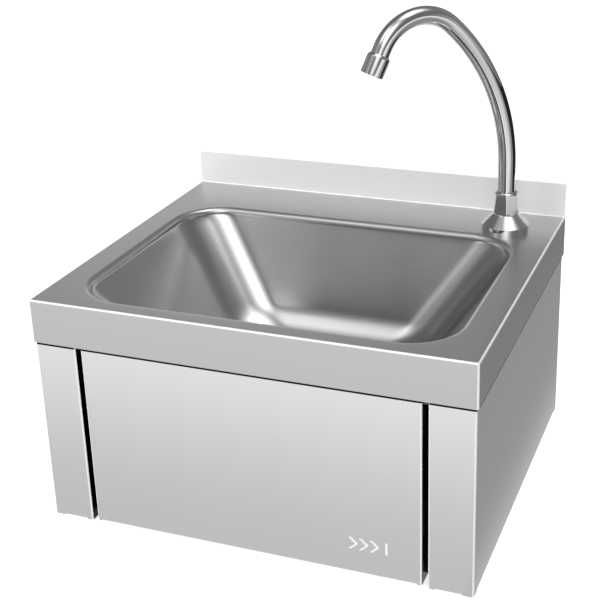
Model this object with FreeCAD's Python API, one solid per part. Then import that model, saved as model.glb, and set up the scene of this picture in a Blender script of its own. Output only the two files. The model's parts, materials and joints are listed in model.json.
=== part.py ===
"""Knee-operated stainless hand wash basin, wall hung.

Frame: +X to the right, +Y towards the wall, +Z up.  The wall is the plane y = 0 and the origin is the
middle of the wall bracket's fixing slots.  Millimetres throughout.
"""
import FreeCAD, Part
import math
import os

V = FreeCAD.Vector

# ---------------------------------------------------------------- driving sizes: body
basin_width = 400.0          # outside the side aprons
basin_depth = 340.0          # wall to the front apron
deck_above_fixing = 50.0     # deck top above the wall fixing slots
apron_height = 40.0
upstand_height = 35.0        # above the deck
body_height = 215.0          # deck top to the legs' lower edges
sheet = 1.2                  # stainless sheet of every folded part
bend = 0.8                   # inside radius of a fold
sheet_gap = 0.3              # air between two sheets that slide or tuck past each other
hem_return = 10.0            # upstand's closed hem, turned back towards the wall
tuck = 25.0                  # side panels reach this far up behind the apron
leg_width = 39.5             # front face of a leg, from the side panel's outside
leg_return = 16.0            # leg's inner edge folded back
rear_flange = 20.0           # side panel's fold along the wall
foot_flange = 12.0           # folds along the lower edges
fold_end_clearance = 8.0     # plain corner left beside a lower fold

# ---------------------------------------------------------------- driving sizes: bowl
bowl_side_ledge = 30.0       # deck between each side and the opening
bowl_front_ledge = 20.0      # deck between the front and the opening
bowl_rear_ledge = 76.0       # wall to the opening
bowl_corner_radius = 45.0
lip_radius = 5.0             # rolled edge of the opening
lip_steps = 3                # sections round the rolled edge
bowl_total_depth = 115.0     # deck top to the bowl's floor
bowl_wall = 1.0
side_wall_slope = 36.0       # degrees from upright
end_wall_slope = 22.0
side_floor_blend = 60.0      # radius from a side wall into the floor
end_floor_blend = 48.0
bowl_floor_corner = 42.0
bowl_blend_steps = 6         # sections through the floor blend

# ---------------------------------------------------------------- driving sizes: knee panel
slot_width = 5.0             # open slot between a leg and the panel
panel_ground_clearance = 1.5  # panel's lower edge above the legs' lower edges
panel_return = 19.0          # depth of the panel's folded sides
panel_lip = 10.0             # outward lips behind the legs
panel_top_below_deck = 36.0
panel_flange = 13.0          # folds along the panel's top and bottom
hinge_below_deck = 26.0
hinge_behind_front = 10.0
hinge_pin_radius = 3.0
hinge_bush_wall = 1.5
hinge_running_gap = 0.05
ear_radius = 7.5
rivet_head_radius = 5.5
rivet_head_height = 2.4
clip_radius = 5.0
clip_groove_radius = 2.2
clip_sheet = 0.7
stiffener_height = 48.0
stiffener_depth = 8.0
stiffener_crown = 24.0
stiffener_splay = 4.0        # height of each sloping side
stiffener_end_gap = 8.0
pad_radius = 12.0
pad_thickness = 3.0
pad_stud_radius = 3.0
buffer_radius = 4.0
buffer_heights = (30.0, 110.0)  # above the legs' lower edges

# ---------------------------------------------------------------- driving sizes: valve
valve_from_side = 105.0      # valve axis from the basin's right side
valve_below_deck = 160.0
push_gap = 0.3               # between the pad and the button's tip
button_radius = 13.0
button_thickness = 6.0
button_tip_radius = 2.0      # flat at the middle of the button's cone
button_rise = 3.0            # height of the cone
button_travel = 10.0
stem_radius = 8.0
neck_radius = 14.0
neck_bore = 12.0
neck_length = 13.0
bonnet_flats = 30.0
bonnet_hexagon = 4.0         # thickness of the bonnet's hexagon
bonnet_plug = 9.0            # its plug inside the neck
seal_thickness = 1.2
lock_nut_flats = 36.0
lock_nut_thickness = 5.0
piston_length = 7.0
piston_behind_neck = 10.5    # neck's end to the piston's front
barrel_radius = 19.0
barrel_length = 60.0
barrel_flange = 2.5          # flange beyond the barrel, against the rail
manifold_radius = 12.0
manifold_behind_rail = 38.0
manifold_drop = 5.0          # manifold axis below the valve's
outlet_neck = 10.0
cavity_length = 36.0
rail_height = 52.0
rail_flange = 18.0
rail_sheet = 1.5
running_gap = 0.05           # radial, round every sliding or turning shaft
inlet_spacing = 52.0
inlet_bore = 5.5
inlet_hexagon = 8.0          # thickness of the unions' hexagons
union_flats = 24.0
half_inch_thread_radius = 10.48
inlet_thread_length = 18.0
check_valve_radius = 7.9
check_valve_length = 7.0
spring_wire = 1.3
spring_turns = 4
spring_stations = 12         # sections in each turn
hose_radius = 5.0
hose_nut_flats = 24.0
hose_nut_length = 15.0
hose_engagement = 9.0        # thread inside the hose's nut
ferrule_radius = 6.2
ferrule_length = 15.0

# ---------------------------------------------------------------- driving sizes: tap
tap_from_side = 49.5         # tap axis from the basin's right side
tap_from_wall = 48.8
tap_hole_radius = 11.5
flange_radius = 24.0
flange_rim = 4.6
waist_radius = 12.2
waist_height = 15.6          # above the deck: where the cone ends
hexagon_bottom = 15.0
hexagon_full = 23.5          # where its lower corners are full
hexagon_top = 36.5
hexagon_flats_low = 24.0
hexagon_flats_high = 19.0
tap_top = 38.0
shank_length = 42.0
shank_bore = 6.0
set_screw_height = 14.2
set_screw_radius = 1.5
spout_socket_floor = 2.0
gasket_radius = 20.0
gasket_thickness = 2.5
washer_radius = 19.0
washer_thickness = 1.5
back_nut_flats = 30.0
back_nut_thickness = 7.0
tube_radius = 8.5
tube_wall = 1.2
tail_shoulder = 17.0         # above the deck: where the brass tail meets the tube
tail_spigot = 9.0            # tail inside the tube
tail_bore = 5.2
seal_groove = 1.8
seal_depth = 1.65
spout_straight_top = 64.7    # above the deck
spout_rise_radius = 190.0
spout_rise_angle = 47.8
spout_crook_radius = 44.0
spout_crook_angle = 106.0
spout_tip_straight = 9.5     # its end is inside the aerator's neck
spout_bearing = 225.5        # degrees from +X, pointing over the bowl
aerator_radius = 10.6
aerator_neck = 3.0           # aerator above the tube's end
aerator_length = 19.5
aerator_wall = 1.6

# ---------------------------------------------------------------- driving sizes: waste
waste_hole_radius = 26.0
strainer_radius = 33.0
strainer_slots = 12
strainer_slot_width = 3.6
strainer_slot_inner = 9.0
strainer_slot_outer = 21.0
waste_thread_radius = 23.9
waste_thread_wall = 3.0
waste_tail_length = 34.0
waste_gasket_thickness = 2.5
waste_screw_radius = 3.0
waste_screw_length = 18.0    # below the body's rim
strainer_plate = 1.4
strainer_crown = 2.0         # its face above the bowl's floor
strainer_skirt = 6.0         # its depth in the hole
waste_rim_thickness = 4.0
waste_cup_depth = 16.0       # the body's rim to its threaded tail
waste_cup_bevel = 10.0       # its bore's plain part, above the slope to the tail
waste_spider_top = 7.0       # below the body's rim
waste_spider_height = 5.0
waste_spider_width = 4.0
waste_boss_height = 13.0

# ---------------------------------------------------------------- driving sizes: wall fixing
hanger_length = 290.0
hanger_overlap = 16.0        # depth of the rail's tongue in the bracket
hanger_standoff = 1.5        # rail's tongue clear of the wall
hanger_seat_below_deck = 30.0
rail_ledge = 26.0            # rail's fold under the deck
bracket_edge = 10.0          # metal below the fixing slots
fixing_spacing = 200.0
fixing_slot_radius = 4.0
fixing_slot_length = 16.0
lower_fixing_radius = 3.5
lower_fixing_above_foot = 25.0

# ---------------------------------------------------------------- places worked out from the sizes
deck_z = deck_above_fixing
apron_bottom_z = deck_z - apron_height
foot_z = deck_z - body_height
half_width = basin_width / 2
skirt_inset = sheet + sheet_gap
skirt_half = half_width - skirt_inset
skirt_front = -basin_depth + skirt_inset
leg_inner_x = skirt_half - leg_width
panel_half = leg_inner_x - slot_width
outer_bend = bend + sheet
bowl_opening_width = basin_width - 2 * bowl_side_ledge
bowl_opening_depth = basin_depth - bowl_front_ledge - bowl_rear_ledge
bowl_x = 0.0
bowl_y = -basin_depth + bowl_front_ledge + bowl_opening_depth / 2
bowl_floor_z = deck_z - bowl_total_depth
tap_x = half_width - tap_from_side
tap_y = -tap_from_wall
hinge_z = deck_z - hinge_below_deck
hinge_y = skirt_front + hinge_behind_front
panel_inner_y = skirt_front + sheet
valve_x = half_width - valve_from_side
valve_z = deck_z - valve_below_deck
push_plane_y = panel_inner_y + stiffener_depth + pad_thickness
button_front_y = push_plane_y + push_gap
bonnet_front_y = button_front_y + button_thickness + button_travel + 1.0
neck_front_y = bonnet_front_y + bonnet_hexagon + seal_thickness
rail_back_y = neck_front_y + neck_length
rail_front_y = rail_back_y - rail_sheet
cavity_end_y = rail_back_y + cavity_length - 12.0
piston_front_y = neck_front_y + piston_behind_neck
manifold_y = rail_back_y + manifold_behind_rail
manifold_z = valve_z - manifold_drop
stub_foot_z = manifold_z - 14.0
valve_outlet_y = rail_back_y + barrel_length + outlet_neck
tap_outlet_z = deck_z - shank_length
hanger_seat_z = deck_z - sheet - hanger_seat_below_deck

TURN = {"XY": FreeCAD.Rotation(),
        "YZ": FreeCAD.Rotation(V(1, 1, 1), 120),
        "XZ": FreeCAD.Rotation(V(1, 0, 0), 90)}


# ---------------------------------------------------------------- outlines and folded sheet
def rounded_path(points, radii):
    """Edges of an open path through flat points, each inner corner rounded by its own radius."""
    corners = [V(u, v, 0) for u, v in points]
    edges = []
    cursor = corners[0]
    for before, corner, after, radius in zip(corners, corners[1:], corners[2:], radii):
        inward = (corner - before).normalize()
        outward = (after - corner).normalize()
        turn = inward.getAngle(outward)
        start = corner - inward * radius * math.tan(turn / 2)
        end = corner + outward * radius * math.tan(turn / 2)
        side = (outward - inward).normalize()
        centre = corner + side * radius / math.cos(turn / 2)
        middle = centre - side * radius
        if (start - cursor).Length > 1e-6:
            edges.append(Part.LineSegment(cursor, start).toShape())
        edges.append(Part.Arc(start, middle, end).toShape())
        cursor = end
    if (corners[-1] - cursor).Length > 1e-6:
        edges.append(Part.LineSegment(cursor, corners[-1]).toShape())
    return edges


def folded_section(points, thickness=sheet, inside=bend):
    """Face of a folded strip.  The points follow one side of it, with the sheet on their left."""
    flat = [V(u, v, 0) for u, v in points]
    near_radii, far_radii, far = [], [], []
    up = V(0, 0, 1)
    for i, corner in enumerate(flat):
        legs = []
        if i > 0:
            legs.append((corner - flat[i - 1]).normalize())
        if i < len(flat) - 1:
            legs.append((flat[i + 1] - corner).normalize())
        normals = [up.cross(leg) for leg in legs]
        if len(legs) == 1:
            far.append(corner + normals[0] * thickness)
            continue
        turn = legs[0].getAngle(legs[1])
        bisector = (normals[0] + normals[1]).normalize()
        far.append(corner + bisector * thickness / math.cos(turn / 2))
        turns_left = legs[0].cross(legs[1]).z > 0
        near_radii.append(inside + thickness if turns_left else inside)
        far_radii.append(inside if turns_left else inside + thickness)
    near = rounded_path([(p.x, p.y) for p in flat], near_radii)
    back = rounded_path([(p.x, p.y) for p in reversed(far)], list(reversed(far_radii)))
    caps = [Part.LineSegment(flat[-1], far[-1]).toShape(), Part.LineSegment(far[0], flat[0]).toShape()]
    return Part.Face(Part.Wire(Part.__sortEdges__(near + [caps[0]] + back + [caps[1]])))


def extruded(face, plane, start, length):
    """Solid of a flat face drawn in XY, YZ or XZ and drawn out along the third axis."""
    solid = face.extrude(V(0, 0, length))
    offset = {"XY": V(0, 0, start), "YZ": V(start, 0, 0), "XZ": V(0, start + length, 0)}[plane]
    solid.Placement = FreeCAD.Placement(offset, TURN[plane])
    return solid


def folded(points, plane, start, end, thickness=sheet, inside=bend):
    return extruded(folded_section(points, thickness, inside), plane, start, end - start)


def block(low, high):
    return Part.makeBox(high[0] - low[0], high[1] - low[1], high[2] - low[2], V(*low))


def rod(radius, base, direction, length):
    return Part.makeCylinder(radius, length, V(*base), V(*direction))


def turned(outline, base, direction):
    """Solid of revolution: outline points are (radius, height) and the axis leaves base along direction."""
    corners = [V(r, 0, h) for r, h in outline]
    face = Part.Face(Part.makePolygon(corners + [corners[0]]))
    solid = face.revolve(V(0, 0, 0), V(0, 0, 1), 360)
    solid.Placement = FreeCAD.Placement(V(*base), FreeCAD.Rotation(V(0, 0, 1), V(*direction)))
    return solid


def rounded_rectangle(half_u, half_v, radius, height, centre=(bowl_x, bowl_y)):
    """Closed wire of a level rounded rectangle."""
    cu, cv = centre
    edges = []
    su, sv = half_u - radius, half_v - radius
    for quarter, (mu, mv) in enumerate(((1, 1), (-1, 1), (-1, -1), (1, -1))):
        middle = V(cu + mu * su, cv + mv * sv, height)
        angle = quarter * 90
        edges.append(Part.Edge(Part.Circle(middle, V(0, 0, 1), radius), math.radians(angle),
                               math.radians(angle + 90)))
        next_mu, next_mv = ((-1, 1), (-1, -1), (1, -1), (1, 1))[quarter]
        after = V(cu + next_mu * su, cv + next_mv * sv, height)
        reach = math.radians(angle + 90)
        step = V(math.cos(reach), math.sin(reach), 0) * radius
        edges.append(Part.LineSegment(middle + step, after + step).toShape())
    return Part.Wire(edges)


def rounded_prism(half_u, half_v, radius, low, high):
    face = Part.Face(rounded_rectangle(half_u, half_v, radius, low))
    return face.extrude(V(0, 0, high - low))


def hexagon_wire(flats, centre, height, turn=0.0):
    corner = flats / 2 / math.cos(math.pi / 6)
    points = []
    for i in range(6):
        angle = math.radians(60 * i + turn)
        points.append(V(centre[0] + corner * math.cos(angle), centre[1] + corner * math.sin(angle), height))
    return Part.makePolygon(points + [points[0]])


def hexagon_nut(flats, thickness, bore, base, direction):
    """Hexagon nut whose first face is at base."""
    prism = Part.Face(hexagon_wire(flats, (0, 0), 0)).extrude(V(0, 0, thickness))
    nut = prism.cut(rod(bore, (0, 0, -1), (0, 0, 1), thickness + 2))
    nut.Placement = FreeCAD.Placement(V(*base), FreeCAD.Rotation(V(0, 0, 1), V(*direction)))
    return nut


def swept_round(edges, radius, bore=0.0):
    """Round bar or tube along a tangent path: each line drawn out, each arc revolved about its own centre."""
    pieces = []
    for edge in edges:
        start = edge.valueAt(edge.FirstParameter)
        along = edge.tangentAt(edge.FirstParameter)
        face = Part.Face(Part.Wire(Part.Circle(start, along, radius).toShape()))
        if bore:
            face = face.cut(Part.Face(Part.Wire(Part.Circle(start, along, bore).toShape())))
        if hasattr(edge.Curve, "Radius"):
            turn = math.degrees(edge.Length / edge.Curve.Radius)
            pieces.append(face.revolve(edge.Curve.Center, edge.Curve.Axis, turn))
        else:
            pieces.append(face.extrude(along * edge.Length))
    return pieces[0].fuse(pieces[1:]).removeSplitter()


def mirrored(shape):
    return shape.mirror(V(0, 0, 0), V(1, 0, 0))


nodes = {}


# ---------------------------------------------------------------- deck
def fold_edges(box, x_limit, y_front, z_top):
    """Edges of a box that a tray's folds follow: round its top at the front and sides, and its two front
    corners."""
    found = []
    for edge in box.Edges:
        middle = edge.CenterOfMass
        top = abs(middle.z - z_top) < 1e-3
        at_side = abs(abs(middle.x) - x_limit) < 1e-3
        at_front = abs(middle.y - y_front) < 1e-3
        if (top and (at_side or at_front)) or (at_side and at_front):
            found.append(edge)
    return found


def make_rolled_lip():
    """Quarter-round edge of the bowl opening, from the deck's top down to the bowl's rim."""
    mouth_x, mouth_y = bowl_opening_width / 2, bowl_opening_depth / 2

    def form(first_growth, radius, last):
        wires = []
        for step in range(lip_steps + 1):
            angle = math.pi / 2 * step / lip_steps
            growth = first_growth + radius * (1 - math.cos(angle))
            height = deck_z - lip_radius + radius * math.sin(angle)
            wires.append(rounded_rectangle(mouth_x + growth, mouth_y + growth, bowl_corner_radius + growth,
                                           height))
        if last:
            wires.append(rounded_rectangle(mouth_x + lip_radius, mouth_y + lip_radius,
                                           bowl_corner_radius + lip_radius, deck_z))
        return Part.makeLoft(wires, True, True)

    return form(sheet, lip_radius - sheet, True).cut(form(0.0, lip_radius, False))


def make_deck():
    """Top, aprons and hemmed upstand, folded from one sheet, with a rolled edge round the bowl opening."""
    fold_back = -2 * sheet - bend
    tray_back = fold_back - sheet
    ledge = 8.0
    outside = block((-half_width, -basin_depth, apron_bottom_z), (half_width, 0, deck_z))
    inside = block((-half_width + sheet, -basin_depth + sheet, apron_bottom_z - 1),
                   (half_width - sheet, 1, deck_z - sheet))
    outside = outside.makeFillet(outer_bend, fold_edges(outside, half_width, -basin_depth, deck_z))
    inside = inside.makeFillet(bend, fold_edges(inside, half_width - sheet, -basin_depth + sheet,
                                                deck_z - sheet))
    tray = outside.cut(inside)
    tray = tray.cut(block((-half_width - 1, tray_back, apron_bottom_z - 1), (half_width + 1, 1, deck_z + 1)))
    hem_z = deck_z + upstand_height - sheet
    back = folded([(tray_back - ledge, deck_z - sheet), (-sheet, deck_z - sheet), (-sheet, hem_z)],
                  "YZ", -half_width, half_width)
    hem_arc = rod(sheet, (-half_width, -sheet, hem_z), (1, 0, 0), basin_width)
    hem_arc = hem_arc.common(block((-half_width, -2 * sheet, hem_z), (half_width, 0, hem_z + sheet)))
    hem_leaf = block((-half_width, -sheet, hem_z - hem_return), (half_width, 0, hem_z))
    side_end = block((half_width - sheet, tray_back - ledge, apron_bottom_z),
                     (half_width, -sheet - outer_bend, deck_z - outer_bend))
    deck = tray.fuse([back, hem_arc, hem_leaf, side_end, mirrored(side_end)])
    deck = deck.cut(rounded_prism(bowl_opening_width / 2 + lip_radius, bowl_opening_depth / 2 + lip_radius,
                                  bowl_corner_radius + lip_radius, deck_z - lip_radius - 1, deck_z + 1))
    deck = deck.fuse(make_rolled_lip())
    deck = deck.cut(rod(tap_hole_radius, (tap_x, tap_y, deck_z - 5), (0, 0, 1), 10))
    return deck.removeSplitter()


# ---------------------------------------------------------------- bowl
def wall_inset(depth, slope, blend):
    """How far a sloping wall with a floor blend has come in at a depth below the lip."""
    angle = math.radians(slope)
    total = bowl_total_depth - lip_radius
    straight = total - blend * (1 - math.sin(angle))
    if depth <= straight:
        return depth * math.tan(angle)
    reach = straight * math.tan(angle) + blend * math.cos(angle)
    drop = depth - (total - blend)
    return reach - math.sqrt(max(blend ** 2 - drop ** 2, 0.0))


def bowl_form(growth, extra_depth):
    """Solid of the bowl's inside, or of its outside when grown by the wall."""
    total = bowl_total_depth - lip_radius
    straight = total - end_floor_blend * (1 - math.sin(math.radians(end_wall_slope)))
    wires = []
    for step in range(-1, bowl_blend_steps + 1):
        turn = math.pi / 2 * step / bowl_blend_steps
        depth = 0.0 if step < 0 else straight + (total - straight) * math.sin(turn)
        share = depth / total
        half_x = bowl_opening_width / 2 - wall_inset(depth, side_wall_slope, side_floor_blend)
        half_y = bowl_opening_depth / 2 - wall_inset(depth, end_wall_slope, end_floor_blend)
        corner = bowl_corner_radius + (bowl_floor_corner - bowl_corner_radius) * share
        height = deck_z - lip_radius - depth * (1 + extra_depth / total)
        wires.append(rounded_rectangle(half_x + growth, half_y + growth, corner + growth, height))
    return Part.makeLoft(wires, True, True)


def make_bowl():
    shell = bowl_form(bowl_wall, bowl_wall).cut(bowl_form(0.0, 0.0))
    reach = 10 * bowl_wall
    return shell.cut(rod(waste_hole_radius, (bowl_x, bowl_y, bowl_floor_z - reach), (0, 0, 1), 2 * reach))


nodes["deck"] = make_deck()
nodes["bowl"] = make_bowl()


# ---------------------------------------------------------------- side panels with their legs
def make_left_side_panel():
    top = apron_bottom_z + tuck
    wall = folded([(-skirt_half + rear_flange, 0), (-skirt_half, 0), (-skirt_half, skirt_front),
                   (-leg_inner_x, skirt_front), (-leg_inner_x, skirt_front + leg_return)],
                  "XY", foot_z, top)
    side_low = skirt_front + outer_bend + fold_end_clearance
    side_high = -outer_bend - fold_end_clearance
    fold_z = foot_z + outer_bend
    trim = block((-skirt_half - 1, side_low, foot_z - 1), (-skirt_half + outer_bend, side_high, fold_z))
    foot = folded([(-skirt_half, fold_z), (-skirt_half, foot_z), (-skirt_half + foot_flange, foot_z)],
                  "XZ", side_low, side_high)
    panel = wall.cut(trim).fuse(foot)
    front_low = -skirt_half + outer_bend + fold_end_clearance
    front_high = -leg_inner_x - outer_bend - fold_end_clearance / 2
    trim = block((front_low, skirt_front - 1, foot_z - 1), (front_high, skirt_front + outer_bend, fold_z))
    foot = folded([(skirt_front, fold_z), (skirt_front, foot_z), (skirt_front + foot_flange, foot_z)],
                  "YZ", front_low, front_high)
    panel = panel.cut(trim).fuse(foot)
    pin_hole = rod(hinge_pin_radius, (-leg_inner_x - 5, hinge_y, hinge_z), (1, 0, 0), 10)
    wall_hole = rod(lower_fixing_radius,
                    (-skirt_half + rear_flange * 0.6, -5, foot_z + lower_fixing_above_foot), (0, 1, 0), 10)
    return panel.cut(pin_hole).cut(wall_hole).removeSplitter()


nodes["left_side_panel"] = make_left_side_panel()
nodes["right_side_panel"] = mirrored(nodes["left_side_panel"])


# ---------------------------------------------------------------- wall hanging
def make_rear_rail():
    """Angle under the deck whose upright tongue drops into the wall bracket."""
    return folded([(-hanger_standoff, hanger_seat_z + sheet_gap), (-hanger_standoff, deck_z - sheet),
                   (-hanger_standoff - rail_ledge, deck_z - sheet)],
                  "YZ", -hanger_length / 2, hanger_length / 2)


def make_wall_bracket():
    """Z-shaped strip: slotted web on the wall, lip standing clear of it to take the rail's tongue."""
    lip_back = -hanger_standoff - sheet - sheet_gap
    strip = folded([(0, -fixing_slot_radius - bracket_edge), (0, hanger_seat_z), (lip_back, hanger_seat_z),
                    (lip_back, hanger_seat_z + hanger_overlap)],
                   "YZ", -hanger_length / 2, hanger_length / 2)
    for side in (-1, 1):
        centre = side * fixing_spacing / 2
        half = fixing_slot_length / 2 - fixing_slot_radius
        slot = block((centre - half, -10, -fixing_slot_radius), (centre + half, 10, fixing_slot_radius))
        for end in (-half, half):
            slot = slot.fuse(rod(fixing_slot_radius, (centre + end, -10, 0), (0, 1, 0), 20))
        strip = strip.cut(slot)
    return strip


nodes["rear_rail"] = make_rear_rail()
nodes["wall_bracket"] = make_wall_bracket()


# ---------------------------------------------------------------- knee panel and its hinge
def make_knee_panel():
    low = foot_z + panel_ground_clearance
    high = deck_z - panel_top_below_deck
    lip_y = skirt_front + panel_return
    pan = folded([(-panel_half - panel_lip, lip_y), (-panel_half, lip_y), (-panel_half, skirt_front),
                  (panel_half, skirt_front), (panel_half, lip_y), (panel_half + panel_lip, lip_y)],
                 "XY", low, high)
    flange_half = panel_half - outer_bend - 2
    for edge_z, inward in ((low, 1), (high, -1)):
        beyond = edge_z - inward
        near = edge_z + inward * outer_bend
        pan = pan.cut(block((-flange_half, skirt_front - 1, min(beyond, near)),
                            (flange_half, skirt_front + outer_bend, max(beyond, near))))
        corner = [(skirt_front, near), (skirt_front, edge_z), (skirt_front + panel_flange, edge_z)]
        if inward < 0:
            corner = corner[::-1]
        pan = pan.fuse(folded(corner, "YZ", -flange_half, flange_half))
    for side in (-1, 1):
        start = -panel_half if side < 0 else panel_half - sheet
        ear = rod(ear_radius, (start, hinge_y, hinge_z), (1, 0, 0), sheet)
        ear = ear.fuse(block((start, hinge_y - ear_radius, high - 1),
                             (start + sheet, hinge_y + ear_radius, hinge_z)))
        ear = ear.cut(rod(hinge_pin_radius + hinge_running_gap + hinge_bush_wall,
                          (start - 1, hinge_y, hinge_z), (1, 0, 0), sheet + 2))
        pan = pan.fuse(ear)
    hook = sheet_gap
    for side in (-1, 1):
        x0, x1 = sorted((side * (panel_half + hook), side * (panel_half + panel_lip + 1)))
        pan = pan.cut(block((x0, lip_y - 1, high - 18), (x1, lip_y + sheet + 1, high + 1)))
    return pan.removeSplitter()


def make_stiffener():
    """Hat-section rib spot-welded across the panel's back, carrying the striker pad."""
    foot = stiffener_height / 2
    crown = stiffener_crown / 2
    back = panel_inner_y + stiffener_depth - sheet
    splay = crown + stiffener_splay
    points = [(panel_inner_y, valve_z + foot), (panel_inner_y, valve_z + splay), (back, valve_z + crown),
              (back, valve_z - crown), (panel_inner_y, valve_z - splay), (panel_inner_y, valve_z - foot)]
    half = panel_half - sheet - stiffener_end_gap
    rib = folded(points, "YZ", -half, half)
    return rib.cut(rod(pad_stud_radius + 0.1, (valve_x, panel_inner_y + 1, valve_z), (0, 1, 0), 12))


def make_striker_pad():
    """Round pad whose stud is pressed through the rib."""
    crown_back = panel_inner_y + stiffener_depth
    stud_front = crown_back - sheet - 1.5
    return turned([(0, 0), (pad_radius, 0), (pad_radius, pad_thickness), (pad_stud_radius, pad_thickness),
                   (pad_stud_radius, push_plane_y - stud_front), (0, push_plane_y - stud_front)],
                  (valve_x, push_plane_y, valve_z), (0, -1, 0))


def make_hinge_parts():
    """Riveted pin through the leg's return, flanged bush in the ear and the clip that keeps them together."""
    bush_bore = hinge_pin_radius + hinge_running_gap
    bush_outer = bush_bore + hinge_bush_wall
    bush_flange = slot_width - 0.5
    bush_length = bush_flange + sheet + 1.0
    clip_x = panel_half - sheet - 1.5
    groove_width = clip_sheet + 0.2
    pins, bushes, clips = [], [], []
    for side in (-1, 1):
        inward = (-side, 0, 0)
        leg_x = leg_inner_x + sheet
        head = turned([(0, 0), (rivet_head_radius, 0), (rivet_head_radius, rivet_head_height * 0.6),
                       (rivet_head_radius - 1, rivet_head_height), (0, rivet_head_height)],
                      (side * leg_x, hinge_y, hinge_z), (side, 0, 0))
        shank = rod(hinge_pin_radius, (side * leg_x, hinge_y, hinge_z), inward, leg_x - clip_x + 3.0)
        beyond = hinge_pin_radius + 1
        groove = turned([(clip_groove_radius, 0), (beyond, 0), (beyond, groove_width),
                         (clip_groove_radius, groove_width)],
                        (side * (clip_x - 0.1), hinge_y, hinge_z), inward)
        pins.append(head.fuse(shank).cut(groove))
        bushes.append(turned([(bush_bore, 0), (bush_outer + 2, 0), (bush_outer + 2, bush_flange),
                              (bush_outer, bush_flange), (bush_outer, bush_length), (bush_bore, bush_length)],
                             (side * (panel_half + bush_flange), hinge_y, hinge_z), inward))
        grip = clip_groove_radius + 0.05
        ring = turned([(grip, 0), (clip_radius, 0), (clip_radius, clip_sheet), (grip, clip_sheet)],
                      (side * (clip_x - 0.2), hinge_y, hinge_z), inward)
        mouth = block((-1, -clip_groove_radius + 0.3, -clip_radius - 1), (1, clip_groove_radius - 0.3, 0))
        mouth.translate(V(side * (clip_x - 0.55), hinge_y, hinge_z))
        clips.append(ring.cut(mouth))
    return pins, bushes, clips


def make_panel_buffers():
    """Rubber stops on the lips, meeting the ends of the legs' returns."""
    lip_front = skirt_front + panel_return
    thick = panel_return - leg_return - sheet_gap
    buffers = []
    for side in (-1, 1):
        for height in buffer_heights:
            buffers.append(rod(buffer_radius, (side * (leg_inner_x + sheet / 2), lip_front, foot_z + height),
                               (0, -1, 0), thick))
    return buffers


nodes["knee_panel"] = make_knee_panel()
nodes["panel_stiffener"] = make_stiffener()
nodes["striker_pad"] = make_striker_pad()
hinge_pins, hinge_bushes, hinge_clips = make_hinge_parts()
nodes["panel_hinge_pins"] = Part.makeCompound(hinge_pins)
nodes["panel_hinge_bushes"] = Part.makeCompound(hinge_bushes)
nodes["panel_hinge_clips"] = Part.makeCompound(hinge_clips)
nodes["panel_buffers"] = Part.makeCompound(make_panel_buffers())


# ---------------------------------------------------------------- knee valve
def valve_axis_part(outline, start_y, direction=1):
    return turned(outline, (valve_x, start_y, valve_z), (0, direction, 0))


def make_valve_rail():
    """Channel between the side panels, pierced for the valve's neck."""
    low, high = valve_z - rail_height / 2, valve_z + rail_height / 2
    reach = skirt_half - sheet
    rail = folded([(rail_front_y + rail_flange, high), (rail_front_y, high), (rail_front_y, low),
                   (rail_front_y + rail_flange, low)], "YZ", -reach, reach, rail_sheet, bend)
    return rail.cut(rod(neck_radius + 0.3, (valve_x, rail_front_y - 1, valve_z), (0, 1, 0), rail_sheet + 2))


def make_valve_body():
    """Brass casting: threaded neck, barrel, cross manifold with two inlets below and an outlet behind."""
    length = barrel_length
    waist = barrel_radius - 6
    body = valve_axis_part([(0, 0), (barrel_radius + barrel_flange, 0), (barrel_radius + barrel_flange, 4),
                            (barrel_radius, 4), (barrel_radius, length - 14), (waist, length - 8),
                            (waist, length), (0, length)], rail_back_y)
    neck = rod(neck_radius, (valve_x, neck_front_y, valve_z), (0, 1, 0), neck_length + 1)
    half = inlet_spacing / 2 + manifold_radius + 1
    manifold = rod(manifold_radius, (valve_x - half, manifold_y, manifold_z), (1, 0, 0), 2 * half)
    outlet = rod(half_inch_thread_radius, (valve_x, rail_back_y + length - 1, valve_z), (0, 1, 0),
                 outlet_neck + 1)
    inlets = [(valve_x + side * inlet_spacing / 2, manifold_y, stub_foot_z) for side in (-1, 1)]
    stubs = [rod(manifold_radius - 0.5, inlet, (0, 0, 1), 14) for inlet in inlets]
    body = body.fuse([neck, manifold, outlet] + stubs)
    cavity = rod(neck_bore, (valve_x, neck_front_y - 1, valve_z), (0, 1, 0), cavity_end_y - neck_front_y + 1)
    outlet_face_y = rail_back_y + length + outlet_neck
    passage = rod(tail_bore, (valve_x, cavity_end_y - 1, valve_z), (0, 1, 0),
                  outlet_face_y - cavity_end_y + 2)
    sockets = [rod(inlet_bore + 1.5, (x, y, z - 1), (0, 0, 1), 14) for x, y, z in inlets]
    return body.cut([cavity, passage] + sockets)


def make_inlet_union(side):
    """Hexagon union screwed up into the manifold, with its male thread pointing down."""
    x = valve_x + side * inlet_spacing / 2
    hexagon = hexagon_nut(union_flats, inlet_hexagon, inlet_bore, (x, manifold_y, stub_foot_z), (0, 0, -1))
    spigot = turned([(inlet_bore, 0), (inlet_bore + 1.4, 0), (inlet_bore + 1.4, 9), (inlet_bore, 9)],
                    (x, manifold_y, stub_foot_z - 1), (0, 0, 1))
    end = inlet_thread_length
    seat = end - check_valve_length - 2
    thread = turned([(inlet_bore, 0), (half_inch_thread_radius, 0), (half_inch_thread_radius, end),
                     (check_valve_radius + 0.1, end), (check_valve_radius + 0.1, seat), (inlet_bore, seat)],
                    (x, manifold_y, stub_foot_z - inlet_hexagon), (0, 0, -1))
    return hexagon.fuse([spigot, thread]).removeSplitter()


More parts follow.
